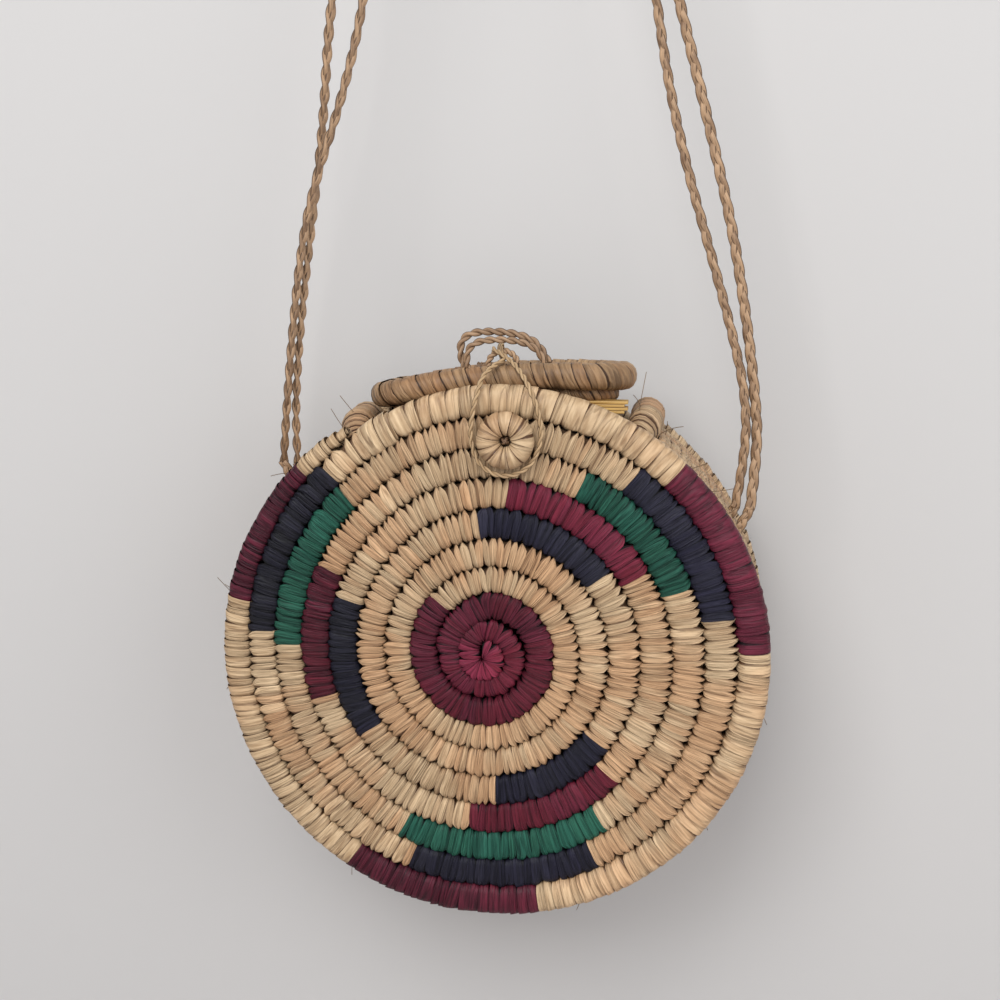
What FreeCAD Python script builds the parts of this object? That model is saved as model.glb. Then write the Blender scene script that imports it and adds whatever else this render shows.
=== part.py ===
import FreeCAD, Part
import math
import os
import Sketcher
from FreeCAD import Placement, Rotation, Vector

# Round bag of coiled palm leaf that hangs from a doubled cord strap, in millimetres.
# Every piece is drawn about the centre of the round panels: +Z up, the front towards -Y.
# Each piece is then moved down by the strap's drop, so that the origin lies under the top
# of the strap, where a peg would carry it. Angles on the panels are clockwise from the top.

# Driving sizes. A name that ends in angle, turn, skew or sweep is in degrees.
SIZES = {
    "rim_ring": 103.7,
    "panel_plane": 27.0,
    "row_gap": 0.3,
    "panel_core": 2.4,
    "core_fit": 0.15,
    "tail_half": 4.2,
    "tail_end_angle": 319.0,
    "gusset_lift": 1.3,
    "gusset_seat": 0.3,
    "gusset_bite": 0.1,
    "gusset_core": 1.7,
    "mouth_angle": 32.5,
    "roll_radius": 6.5,
    "roll_lift_left": 2.8,
    "roll_lift_right": 6.8,
    "roll_round": 2.0,
    "roll_seat": 0.3,
    "binding_angle": 332.5,
    "binding_sweep": 4.5,
    "binding_wall": 1.1,
    "binding_fit": 0.2,
    "button_ring": 7.0,
    "button_tube": 4.5,
    "button_across": 6.2,
    "button_up": 89.2,
    "button_seat": 0.25,
    "tie_radius": 1.6,
    "tie_sink": 3.5,
    "lid_across": 2.9,
    "lid_lift": 7.5,
    "lid_skew": 6.0,
    "lid_arch": 300.0,
    "lid_half_run": 31.0,
    "lid_rim_offset": 17.9,
    "lid_rim_tube": 5.0,
    "lid_core": 2.2,
    "lid_row_gap": 0.25,
    "lid_inner_tube": 4.3,
    "plug_tube": 3.0,
    "plug_inset": 4.7,
    "strip_length": 40.0,
    "strip_width": 6.0,
    "strip_thick": 1.15,
    "strip_gap": 0.08,
    "strip_stagger": 1.4,
    "strip_end": 52.0,
    "lashing_radius": 2.2,
    "lashing_length": 8.0,
    "lashing_across": 9.0,
    "lashing_seat": 0.3,
    "keeper_ring": 6.0,
    "keeper_tube": 1.3,
    "keeper_seat": 0.2,
    "loop_tube": 1.0,
    "loop_eye_fit": 0.35,
    "pull_tube": 1.8,
    "pull_seat": 0.3,
    "strap_tube": 2.3,
    "strap_seat": 0.35,
    "strap_spacing": 6.0,
    "strap_left_angle": 49.5,
    "strap_right_angle": 58.8,
    "strap_top": 401.0,
    "hole_fit": 0.25,
    "knot_depth": 13.5,
    "knot_ring": 2.6,
    "knot_tube": 2.0,
    "overrun": 2.0,
    "end_sweep": 1.0,
}

# The spiral's rows, from the middle to the rim, as shares of the rim row's radius.
# The middle rows are narrower than the outer ones, and the shares add up to one.
START_SHARE = 0.05
PITCH_SHARES = (0.077, 0.087, 0.097, 0.106, 0.1166, 0.1166, 0.1166, 0.1166, 0.1166)
BEFORE_START_SHARE = 0.068
LAST_TURN = len(PITCH_SHARES)

# Dyed stretches of the spiral: turn, and clockwise angles where the colour starts and ends.
MIDDLE_END = (2, 318.0)
DYED_RUNS = {
    "maroon": ((6, 4.5, 57.0), (9, 44.0, 85.0), (6, 135.0, 188.0), (9, 169.5, 214.0),
               (6, 254.5, 298.0), (9, 282.0, 314.0)),
    "navy": ((5, -5.0, 51.0), (8, 36.0, 78.0), (5, 128.0, 177.0), (8, 152.0, 200.5),
             (5, 237.0, 291.0), (8, 275.0, 318.0)),
    "green": ((7, 25.0, 67.0), (7, 145.0, 207.0), (7, 273.0, 318.0)),
}
# The back panel's dyed stretches start this angle earlier, so plain leaf shows beside the gusset.
BACK_LEAD = 60.0

GUSSET_ROWS = 6
STRIPS = 4
HALF_TURN = 180.0
FULL_TURN = 360.0
TWO_SIDES = 2.0

# Strap ends inside the bag: clockwise angle of each knot from the top, left then right.
KNOT_ANGLES = {"left": (-53.4, -60.6), "right": (65.8, 73.7)}

# Routes of the cords, as points about the panels' centre, chosen from the photograph.
# The first and last points of a strap cord lie on the swing axis and are worked out below.
STRAP_FRONT_ROUTE = (
    (-88.9, -2.7, 88.0), (-83.0, -3.0, 142.0), (-76.5, -3.0, 179.0), (-62.5, -3.0, 217.0),
    (-52.5, -3.0, 254.0), (-46.5, -3.0, 302.0), (-40.0, -3.0, 346.0), (-27.0, -3.0, 384.0),
    (-9.5, -3.0, 401.0), (9.5, -3.0, 401.0), (28.0, -3.0, 384.0), (43.5, -3.0, 346.0),
    (52.0, -3.0, 302.0), (59.5, -3.0, 254.0), (65.0, -3.0, 222.0), (73.0, -3.0, 190.0),
    (82.0, -3.0, 161.0), (91.0, -3.0, 131.0), (97.5, -2.9, 106.0), (99.0, -2.2, 82.0),
)
STRAP_BACK_ROUTE = (
    (-86.2, 2.7, 90.0), (-83.0, 3.0, 128.0), (-77.0, 3.0, 170.0), (-71.5, 3.0, 206.0),
    (-68.0, 3.0, 250.0), (-59.5, 3.0, 298.0), (-45.0, 3.0, 343.0), (-27.0, 3.0, 384.0),
    (-9.5, 3.0, 401.0), (9.5, 3.0, 401.0), (27.0, 3.0, 384.0), (41.0, 3.0, 346.0),
    (54.5, 3.0, 302.0), (68.0, 3.0, 254.5), (82.0, 3.0, 203.0), (90.5, 3.0, 170.0),
    (96.5, 3.0, 139.0), (101.5, 2.9, 106.0), (103.8, 2.2, 81.0),
)
LOOP_ROUTE = (
    (0.6, -22.5, 118.8), (-3.2, -32.0, 112.5), (-6.4, -36.4, 103.0), (-7.4, -36.5, 92.0),
    (-5.6, -36.5, 81.5), (0.5, -36.5, 74.4), (11.5, -36.5, 74.4), (18.0, -36.5, 82.5),
    (19.8, -36.5, 93.0), (17.8, -36.4, 103.0), (13.6, -32.0, 112.5), (7.5, -22.5, 118.3),
)
# The pull handle's routes are in the lid's own plane: along the lid, and up from its rows.
PULL_OUTER_ROUTE = ((-17.8, 12.0), (-14.5, 19.5), (-3.5, 19.9), (7.5, 17.0), (14.5, 10.8))
PULL_INNER_ROUTE = ((-11.2, 11.0), (-7.0, 14.6), (-1.0, 14.4), (6.0, 11.6))
PULL_OUTER_FEET = (-16.0, 17.2)
PULL_INNER_FEET = (-11.6, 12.6)
BEND_SHARE = 0.45

doc = FreeCAD.newDocument("circle_bag")
sheet = doc.addObject("Spreadsheet::Sheet", "Sizes")
for line, (alias, number) in enumerate(SIZES.items(), start=1):
    sheet.set(f"A{line}", alias)
    sheet.set(f"B{line}", str(number))
    sheet.setAlias(f"B{line}", alias)
doc.recompute()


def size(alias):
    """A driving size, read back from the sheet."""
    return float(sheet.get(alias))


# Sizes that follow from the driving ones
row_radii = [START_SHARE * size("rim_ring")]
for share in PITCH_SHARES:
    row_radii.append(row_radii[-1] + share * size("rim_ring"))
rim_ring = row_radii[LAST_TURN]
row_shares = (BEFORE_START_SHARE,) + PITCH_SHARES + (PITCH_SHARES[-1],)
row_tubes = [
    (row_shares[turn] + row_shares[turn + 1]) * rim_ring / 4 - size("row_gap") / 2
    for turn in range(LAST_TURN + 1)
]
rim_tube = row_tubes[LAST_TURN]
panel_front = size("panel_plane") + rim_tube
gusset_ring = rim_ring + size("gusset_lift")
gusset_width = TWO_SIDES * (size("panel_plane") - rim_tube - size("gusset_seat"))
gusset_pitch = (gusset_width - TWO_SIDES * size("gusset_bite")) / GUSSET_ROWS
gusset_tube = gusset_pitch / 2 + size("gusset_bite")
lid_up = rim_ring + size("lid_lift")
strap_drop = size("strap_top") - size("strap_tube")

Y_AXIS = Vector(0, 1, 0)
DROP = Placement(Vector(0, 0, -strap_drop), Rotation())
LID_TURN = Rotation(Y_AXIS, -size("lid_skew"))
LID_PLACE = Placement(Vector(size("lid_across"), 0, lid_up - strap_drop), LID_TURN)
BACK_PLACE = Placement(DROP.Base, Rotation(Vector(0, 0, 1), HALF_TURN))

sub_parts = []


def keep(item, label, placement=DROP):
    """Names a finished sub-part, puts it in its place and keeps it for export."""
    item.Label = label
    item.Placement = placement
    sub_parts.append(item)
    return item


def feature(label, shape, placement=DROP):
    """A sub-part whose shape is made by Part's own functions."""
    item = doc.addObject("Part::Feature", label)
    item.Shape = shape
    return keep(item, label, placement)


def primitive(kind, name, placement=None, **expressions):
    """A Part primitive whose sizes are bound to the sheet."""
    item = doc.addObject(kind, name)
    for prop, expression in expressions.items():
        item.setExpression(prop, expression)
    if placement is not None:
        item.Placement = placement
    return item


def boolean(kind, name, **links):
    """A Part boolean or compound of objects that are already in the document."""
    item = doc.addObject(kind, name)
    for prop, link in links.items():
        setattr(item, prop, link)
    return item


def polar(radius, angle):
    """The point at a radius and a clockwise angle from the top, in the panels' plane."""
    return Vector(radius * math.sin(math.radians(angle)), 0, radius * math.cos(math.radians(angle)))


def ring_placement(angle, offset=0.0):
    """Turns a torus about the Y axis so that its sweep starts at an angle and goes clockwise."""
    start = polar(1, angle)
    return Placement(Vector(0, offset, 0), Rotation(start, Y_AXIS.cross(start), Y_AXIS, "ZXY"))


# Panels

def half_turn(turn, left):
    """Height of the centre and radius of one half turn of the spiral."""
    inner = row_radii[turn]
    if not left:
        return 0.0, inner
    outer = row_radii[turn + 1]
    return (outer - inner) / 2, (outer + inner) / 2


def angle_about(centre, ring, angle):
    """A clockwise angle about the panel's centre, as an angle about a half turn's own centre."""
    turn = math.radians(angle)
    reach = centre * math.cos(turn) + math.sqrt(ring ** 2 - (centre * math.sin(turn)) ** 2)
    return math.degrees(math.atan2(reach * math.sin(turn), reach * math.cos(turn) - centre)) % FULL_TURN


def round_section(at, normal, tube, bore):
    """A round section of a coil, hollow where bore is not zero."""
    wires = [Part.Wire(Part.makeCircle(tube, at, normal))]
    if bore:
        wires.append(Part.Wire(Part.makeCircle(bore, at, normal)))
    return Part.makeFace(wires, "Part::FaceMakerBullseye")


def swept_ring(centre, ring, start, end, tube, bore):
    """A stretch of coil: a round section, hollow where bore is not zero, turned about its centre."""
    middle = Vector(0, -size("panel_plane"), centre)
    at = middle + polar(ring, start)
    along = Y_AXIS.cross(polar(1, start))
    return round_section(at, along, tube, bore).revolve(middle, Y_AXIS, end - start)


def rim_tail(start, end):
    """A sector of the crescent in which the last row tapers off along the left rim."""
    centre, ring = half_turn(LAST_TURN - 1, True)
    inner = ring + row_tubes[LAST_TURN - 1] + size("row_gap")
    outer = rim_ring + rim_tube
    half = size("tail_half")
    low = Vector(0, -size("panel_plane") - half, 0)
    disc = sector(outer, low, TWO_SIDES * half, start, end)
    hole_low = low + Vector(0, -size("overrun"), centre)
    depth = TWO_SIDES * (half + size("overrun"))
    return disc.cut(Part.makeCylinder(inner, depth, hole_low, Y_AXIS))


def sector(radius, low, depth, start, end):
    """A slice of a disc between two clockwise angles, extruded along Y."""
    first = low + polar(radius, start)
    middle = low + polar(radius, (start + end) / 2)
    last = low + polar(radius, end)
    edges = [Part.LineSegment(low, first), Part.Arc(first, middle, last), Part.LineSegment(last, low)]
    face = Part.Face(Part.Wire([edge.toShape() for edge in edges]))
    return face.extrude(Vector(0, depth, 0))


def spiral_stretch(start, end, bore_or_core, hollow):
    """A stretch of the spiral between two angles that count on from turn to turn."""
    pieces = []
    step = int(start // HALF_TURN)
    while step * HALF_TURN < end:
        turn, left = divmod(step, 2)
        low = max(start, step * HALF_TURN) - turn * FULL_TURN
        high = min(end, (step + 1) * HALF_TURN) - turn * FULL_TURN
        if turn == LAST_TURN and left:
            pieces.append(rim_tail(low, high))
        else:
            centre, ring = half_turn(turn, left)
            first = angle_about(centre, ring, low)
            last = angle_about(centre, ring, high)
            if last <= first:
                last += FULL_TURN
            tube = row_tubes[turn] if hollow else bore_or_core
            bore = bore_or_core if hollow else 0
            pieces.append(swept_ring(centre, ring, first, last, tube, bore))
        step += 1
    whole = pieces[0]
    if len(pieces) > 1:
        whole = whole.multiFuse(pieces[1:]).removeSplitter()
    return whole.Solids[0] if len(whole.Solids) == 1 else whole


def colour_runs(lead):
    """All wrapped stretches by colour; natural leaf fills what the dyed runs leave."""
    middle_end = MIDDLE_END[0] * FULL_TURN + MIDDLE_END[1]
    runs = {colour: [] for colour in DYED_RUNS}
    for colour, stretches in DYED_RUNS.items():
        for turn, start, end in stretches:
            before = turn * FULL_TURN - lead
            runs[colour].append((before + start, before + end))
    runs["maroon"].append((0.0, middle_end))
    dyed = sorted(run for stretches in runs.values() for run in stretches)
    runs["natural"] = []
    spiral_end = (LAST_TURN * FULL_TURN + size("tail_end_angle"), 0.0)
    for (_, end), (start, _) in zip(dyed, dyed[1:] + [spiral_end]):
        if start > end:
            runs["natural"].append((end, start))
    return runs


def panel(side, placement, lead):
    """One round panel: the foundation spiral and its wraps in four colours."""
    core_end = LAST_TURN * FULL_TURN + HALF_TURN
    feature(f"{side}_core", spiral_stretch(0.0, core_end, size("panel_core"), False), placement)
    bore = size("panel_core") + size("core_fit")
    for colour, stretches in colour_runs(lead).items():
        wraps = [spiral_stretch(start, end, bore, True) for start, end in stretches]
        feature(f"{side}_wrap_{colour}", Part.makeCompound(wraps), placement)


panel("front", DROP, 0)
panel("back", BACK_PLACE, BACK_LEAD)


# Gusset: the coil rows between the panels, stitched into one band, with their foundation inside

RIM_TUBE = f"(Sizes.rim_ring * {PITCH_SHARES[-1]} / 2 - Sizes.row_gap / 2)"
GUSSET_RING = "(Sizes.rim_ring + Sizes.gusset_lift)"
GUSSET_WIDTH = f"(2 * (Sizes.panel_plane - {RIM_TUBE} - Sizes.gusset_seat))"
GUSSET_TUBE = f"(({GUSSET_WIDTH} - 2 * Sizes.gusset_bite) / {GUSSET_ROWS} / 2 + Sizes.gusset_bite)"
GUSSET_BORE = "Sizes.gusset_core + Sizes.core_fit"

gusset_start = size("mouth_angle") + math.degrees((size("roll_radius") + size("roll_seat")) / gusset_ring)


def gusset_arcs(name, tube, overrun):
    """One arc for each gusset row, from mouth end to mouth end round the bottom."""
    start = gusset_start - overrun
    arcs = []
    for row in range(GUSSET_ROWS):
        offset = (row - (GUSSET_ROWS - 1) / 2) * gusset_pitch
        arc = primitive("Part::Torus", f"{name}_{row}", ring_placement(start, offset),
                        Radius1=GUSSET_RING, Radius2=tube)
        arc.Angle3 = FULL_TURN - 2 * start
        arcs.append(arc)
    return arcs


# Strap ends: where each cord meets the swing axis, and where its knot lies inside the bag

axis_reach = gusset_ring + gusset_tube + size("strap_seat") + size("strap_tube")
left_inner = polar(axis_reach, -size("strap_left_angle"))
right_inner = polar(axis_reach, size("strap_right_angle"))
swing_axis = (right_inner - left_inner).normalize()
strap_ends = {
    "left": (left_inner, left_inner - swing_axis * size("strap_spacing")),
    "right": (right_inner, right_inner + swing_axis * size("strap_spacing")),
}
knot_reach = gusset_ring - gusset_tube - size("knot_depth")


def along(start, end):
    """Puts an object's own Z axis along the line from start to end."""
    return Placement(start, Rotation(Vector(0, 0, 1), end - start))


def strap_hole(side, index):
    """The hole that a cord end goes through, drilled through the gusset."""
    start = strap_ends[side][index]
    knot = polar(knot_reach, KNOT_ANGLES[side][index])
    hole = primitive("Part::Cylinder", f"hole_{side}_{index}", along(start, knot),
                     Radius="Sizes.strap_tube + Sizes.hole_fit")
    hole.Height = (knot - start).Length
    return hole


def strap_knots(side):
    """The two cord ends of one side: a short length through the gusset and a knot inside."""
    ends = []
    for index, start in enumerate(strap_ends[side]):
        knot = polar(knot_reach, KNOT_ANGLES[side][index])
        way = (knot - start).normalize()
        top = start + way * (TWO_SIDES * size("strap_tube") + size("strap_seat"))
        name = f"{side}_{index}"
        stem = primitive("Part::Cylinder", f"stem_{name}", along(top, knot), Radius="Sizes.strap_tube")
        stem.Height = (knot - top).Length
        cap = primitive("Part::Sphere", f"cap_{name}", Placement(top, Rotation()), Radius="Sizes.strap_tube")
        tip = primitive("Part::Sphere", f"tip_{name}", Placement(knot, Rotation()), Radius="Sizes.strap_tube")
        turn = primitive("Part::Torus", f"turn_{name}", along(knot, knot + way),
                         Radius1="Sizes.knot_ring", Radius2="Sizes.knot_tube")
        ends.append(boolean("Part::MultiFuse", f"end_{name}", Shapes=[stem, cap, tip, turn]))
    keep(boolean("Part::Compound", f"strap_knots_{side}", Links=ends), f"strap_knots_{side}")


def gusset():
    """The band of rows and its foundation, both drilled for the strap."""
    holes = [strap_hole(side, index) for side in strap_ends for index in range(2)]
    rows = boolean("Part::MultiFuse", "gusset_rows", Shapes=gusset_arcs("gusset_row", GUSSET_TUBE, 0.0))
    bores = gusset_arcs("gusset_bore", GUSSET_BORE, size("end_sweep"))
    cuts = boolean("Part::Compound", "gusset_cuts", Links=bores)
    hollow = boolean("Part::Cut", "gusset_hollow", Base=rows, Tool=cuts)
    drills = boolean("Part::MultiFuse", "gusset_drills", Shapes=holes)
    keep(boolean("Part::Cut", "gusset_coil", Base=hollow, Tool=drills), "gusset_coil")
    cores = boolean("Part::Compound", "gusset_fibres", Links=gusset_arcs("gusset_fibre", "Sizes.gusset_core", 0.0))
    keep(boolean("Part::Cut", "gusset_core", Base=cores, Tool=drills), "gusset_core")


gusset()
for side in strap_ends:
    strap_knots(side)


# Mouth: the wrapped rolls that end the gusset, and the binding on the spiral's end

def mouth_roll(side, angle, lift):
    """A padded roll across the bag at one end of the mouth."""
    body = doc.addObject("PartDesign::Body", f"mouth_roll_{side}")
    plane = next(item for item in body.Origin.OriginFeatures if item.Role == "XZ_Plane")
    section = body.newObject("Sketcher::SketchObject", f"roll_section_{side}")
    section.AttachmentSupport = (plane, [""])
    section.MapMode = "FlatFace"
    section.addGeometry(Part.Circle(Vector(), Vector(0, 0, 1), size("roll_radius")), False)
    section.addConstraint(Sketcher.Constraint("Coincident", 0, 3, -1, 1))
    section.addConstraint(Sketcher.Constraint("Radius", 0, size("roll_radius")))
    section.setExpression("Constraints[1]", "Sizes.roll_radius")
    pad = body.newObject("PartDesign::Pad", f"roll_pad_{side}")
    pad.Profile = section
    pad.Midplane = True
    pad.setExpression("Length", GUSSET_WIDTH)
    doc.recompute()
    rounded = body.newObject("PartDesign::Fillet", f"roll_round_{side}")
    rounded.Base = (pad, [f"Edge{number}" for number, edge in enumerate(pad.Shape.Edges, start=1) if edge.Closed])
    rounded.setExpression("Radius", "Sizes.roll_round")
    at = polar(rim_ring + size(lift), angle)
    keep(body, f"mouth_roll_{side}", Placement(at + DROP.Base, Rotation()))


mouth_roll("left", -size("mouth_angle"), "roll_lift_left")
mouth_roll("right", size("mouth_angle"), "roll_lift_right")


def rim_binding():
    """A broad leaf tied round the rim row where the spiral ends, open where the next row lies."""
    start = size("binding_angle") - size("binding_sweep") / 2
    plane = -size("panel_plane")
    rings = []
    for name, turn, tube, spread in (
            ("binding_outside", LAST_TURN - 1, size("binding_fit") + size("binding_wall"), 0.0),
            ("binding_inside", LAST_TURN - 1, size("binding_fit"), size("end_sweep")),
            ("binding_next_row", LAST_TURN - 2, size("row_gap"), size("end_sweep"))):
        centre, ring = half_turn(turn, True)
        place = ring_placement(start - spread, plane)
        place.Base.z = centre
        arc = primitive("Part::Torus", name, place)
        arc.Radius1 = ring
        arc.Radius2 = row_tubes[turn] + tube
        arc.Angle3 = size("binding_sweep") + TWO_SIDES * spread
        rings.append(arc)
    sleeve = boolean("Part::Cut", "binding_sleeve", Base=rings[0], Tool=rings[1])
    keep(boolean("Part::Cut", "rim_binding_left", Base=sleeve, Tool=rings[2]), "rim_binding_left")


rim_binding()


# Button: a wrapped ring on the front, held by a stitch through its middle

button_out = -panel_front - size("button_seat") - size("button_tube")
button_at = Vector(size("button_across"), button_out, size("button_up"))
keep(primitive("Part::Torus", "button_ring", Radius1="Sizes.button_ring", Radius2="Sizes.button_tube"),
     "button_ring", Placement(button_at + DROP.Base, ring_placement(0).Rotation))
tie_at = Vector(button_at.x, -panel_front, button_at.z)
keep(primitive("Part::Cylinder", "button_tie", Radius="Sizes.tie_radius",
               Height="Sizes.button_seat + 2 * Sizes.button_tube - Sizes.tie_sink"),
     "button_tie", Placement(tie_at + DROP.Base, Rotation(Vector(0, 0, 1), Vector(0, -1, 0))))


# Lid: racetrack coils on a slight arch, drawn along X in the lid's own plane

lid_inner_offset = (size("lid_rim_offset") - size("lid_rim_tube") - size("lid_row_gap")
                    - size("lid_inner_tube"))
lid_middle_tube = lid_inner_offset - size("lid_inner_tube") - size("lid_row_gap")
plug_offset = size("lid_rim_offset") - size("plug_inset")
plug_reach = size("lid_rim_tube") + size("plug_tube") + size("lid_row_gap")
plug_drop = math.sqrt(plug_reach ** 2 - size("plug_inset") ** 2)
lid_end_angle = math.degrees(size("lid_half_run") / size("lid_arch"))
ARCH_CENTRE = Vector(0, 0, -size("lid_arch"))


def lid_loop(offset, drop, tube, bore=0.0):
    """A row that runs along the front of the lid, round one end, back, and round the other."""
    ring = size("lid_arch") - drop
    pieces = []
    for way in (1, -1):
        side = Vector(0, -way * offset, 0)
        start = ARCH_CENTRE + polar(ring, -way * lid_end_angle)
        end = ARCH_CENTRE + polar(ring, way * lid_end_angle)
        tangent = Y_AXIS.cross(polar(1, -way * lid_end_angle))
        run = round_section(start + side, tangent, tube, bore)
        pieces.append(run.revolve(ARCH_CENTRE, Y_AXIS, TWO_SIDES * way * lid_end_angle))
        tangent = Y_AXIS.cross(polar(1, way * lid_end_angle))
        bend = round_section(end + side, tangent, tube, bore)
        pieces.append(bend.revolve(end, polar(1, way * lid_end_angle), HALF_TURN))
    return pieces[0].multiFuse(pieces[1:]).removeSplitter().Solids[0]


def lid_middle():
    """The first row of the lid, a bar with rounded ends."""
    start = ARCH_CENTRE + polar(size("lid_arch"), -lid_end_angle)
    end = ARCH_CENTRE + polar(size("lid_arch"), lid_end_angle)
    run = round_section(start, Y_AXIS.cross(polar(1, -lid_end_angle)), lid_middle_tube, 0.0)
    bar = run.revolve(ARCH_CENTRE, Y_AXIS, TWO_SIDES * lid_end_angle)
    caps = [Part.makeSphere(lid_middle_tube, at) for at in (start, end)]
    return bar.multiFuse(caps).removeSplitter().Solids[0]


core_bore = size("lid_core") + size("core_fit")
feature("lid_rim_coil", lid_loop(size("lid_rim_offset"), 0.0, size("lid_rim_tube"), core_bore), LID_PLACE)
feature("lid_core", lid_loop(size("lid_rim_offset"), 0.0, size("lid_core")), LID_PLACE)
feature("lid_inner_coil", lid_loop(lid_inner_offset, 0.0, size("lid_inner_tube")), LID_PLACE)
feature("lid_middle_coil", lid_middle(), LID_PLACE)
feature("lid_plug_coil", lid_loop(plug_offset, plug_drop, size("plug_tube")), LID_PLACE)


def core_strips():
    """Bare strips of foundation that lie under the right end of the lid's lower row."""
    first = size("strip_end") - size("strip_length")
    reach = first - size("lid_across")
    sag = reach ** 2 / (2 * size("lid_arch"))
    rise = reach * math.sin(math.radians(size("lid_skew"))) - sag
    top = lid_up + rise - plug_drop - size("plug_tube") - size("strip_gap")
    strips = []
    for index in range(STRIPS):
        low = top - (index + 1) * size("strip_thick") - index * size("strip_gap")
        shift = size("strip_stagger") * (index % 2)
        place = Placement(Vector(first - shift, -plug_offset - size("strip_width") / 2, low), Rotation())
        strips.append(primitive("Part::Box", f"strip_{index}", place, Length="Sizes.strip_length",
                                Width="Sizes.strip_width", Height="Sizes.strip_thick"))
    keep(boolean("Part::Compound", "lid_core_strips", Links=strips), "lid_core_strips")


core_strips()


def nip(first, first_reach, second, second_reach):
    """The point above two rows, seen along them, that is a given reach from the middle of each."""
    gap = math.dist(first, second)
    along_gap = (first_reach ** 2 - second_reach ** 2 + gap ** 2) / (2 * gap)
    above = math.sqrt(first_reach ** 2 - along_gap ** 2)
    way = ((second[0] - first[0]) / gap, (second[1] - first[1]) / gap)
    up = (-way[1], way[0]) if way[0] > 0 else (way[1], -way[0])
    return tuple(first[axis] + way[axis] * along_gap + up[axis] * above for axis in (0, 1))


lashing_reach = size("lashing_radius") + size("lashing_seat")
hinge_out, hinge_up = nip((size("lid_rim_offset"), lid_up), size("lid_rim_tube") + lashing_reach,
                          (size("panel_plane"), rim_ring), rim_tube + lashing_reach)


def lid_lashings():
    """Two wound ties in the groove between the lid and the back rim, which the lid turns on."""
    ties = []
    for name, way in (("left", -1), ("right", 1)):
        start = way * size("lashing_across") - size("lashing_length") / 2
        place = Placement(Vector(start, hinge_out, hinge_up), Rotation(Vector(0, 0, 1), Vector(1, 0, 0)))
        ties.append(primitive("Part::Cylinder", f"lashing_{name}", place,
                              Radius="Sizes.lashing_radius", Height="Sizes.lashing_length"))
    keep(boolean("Part::Compound", "lid_lashings", Links=ties), "lid_lashings")


lid_lashings()


# Cords: straight runs joined by arcs as large as the runs allow

def cord(name, points, tube):
    """A round cord along a route, with its radii and its volume printed for checking."""
    points = [Vector(*point) for point in points]
    edges = []
    radii = []
    last = points[0]
    for before, corner, after in zip(points, points[1:], points[2:]):
        come = (corner - before).normalize()
        leave = (after - corner).normalize()
        half = come.getAngle(leave) / 2
        reach = BEND_SHARE * min((corner - before).Length, (after - corner).Length)
        radius = reach / math.tan(half)
        inward = (leave - come).normalize()
        middle = corner + inward * (radius / math.cos(half) - radius)
        edges.append(Part.LineSegment(last, corner - come * reach).toShape())
        edges.append(Part.Arc(corner - come * reach, middle, corner + leave * reach).toShape())
        last = corner + leave * reach
        radii.append(radius)
    edges.append(Part.LineSegment(last, points[-1]).toShape())
    path = Part.Wire(edges)
    ring = Part.Wire(Part.makeCircle(tube, points[0], points[1] - points[0]))
    solid = path.makePipeShell([ring], True, False)
    expected = math.pi * tube ** 2 * path.Length
    print(f"{name}: length {path.Length:.1f}, least radius {min(radii):.1f},"
          f" volume {solid.Volume / expected:.4f} of section times length")
    return solid


def capped(solid, ends, tube):
    """A cord with rounded ends."""
    return solid.multiFuse([Part.makeSphere(tube, end) for end in ends]).removeSplitter().Solids[0]


def strap_cord(label, start, route, end):
    """One strap cord, from the swing axis on the left to the swing axis on the right."""
    tube = size("strap_tube")
    whole = cord(label, [start, *route, end], tube)
    feature(label, capped(whole, (start, end), tube))


strap_cord("strap_cord_front", strap_ends["left"][1], STRAP_FRONT_ROUTE, strap_ends["right"][0])
strap_cord("strap_cord_back", strap_ends["left"][0], STRAP_BACK_ROUTE, strap_ends["right"][1])

pull_reach = size("pull_tube") + size("pull_seat")
pull_out, pull_up = nip((lid_inner_offset, 0.0), size("lid_inner_tube") + pull_reach,
                        (0.0, 0.0), lid_middle_tube + pull_reach)


def pull_cord(label, feet, route):
    """One cord of the pull handle, standing in the groove beside the lid's middle row."""
    tube = size("pull_tube")
    points = [Vector(reach, -pull_out, height) for reach, height in
              ((feet[0], pull_up), *route, (feet[1], pull_up))]
    feature(label, capped(cord(label, points, tube), (points[0], points[-1]), tube), LID_PLACE)


pull_cord("pull_cord_outer", PULL_OUTER_FEET, PULL_OUTER_ROUTE)
pull_cord("pull_cord_inner", PULL_INNER_FEET, PULL_INNER_ROUTE)

keeper_reach = size("keeper_tube") + size("keeper_seat")
keeper_out, keeper_up = nip((size("lid_rim_offset"), 0.0), size("lid_rim_tube") + keeper_reach,
                            (lid_inner_offset, 0.0), size("lid_inner_tube") + keeper_reach)


def loop_keeper():
    """The small arch of cord on the lid that the closing loop turns on."""
    foot = Vector(0, -keeper_out, keeper_up)
    arch_place = ring_placement(-HALF_TURN / 2)
    arch_place.Base = foot
    arch = primitive("Part::Torus", "keeper_arch", arch_place,
                     Radius1="Sizes.keeper_ring", Radius2="Sizes.keeper_tube")
    arch.Angle3 = HALF_TURN
    feet = []
    for name, way in (("left", -1), ("right", 1)):
        at = foot + Vector(way * size("keeper_ring"), 0, 0)
        feet.append(primitive("Part::Sphere", f"keeper_foot_{name}", Placement(at, Rotation()),
                              Radius="Sizes.keeper_tube"))
    keep(boolean("Part::MultiFuse", "loop_keeper", Shapes=[arch, *feet]), "loop_keeper", LID_PLACE)


loop_keeper()


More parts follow.
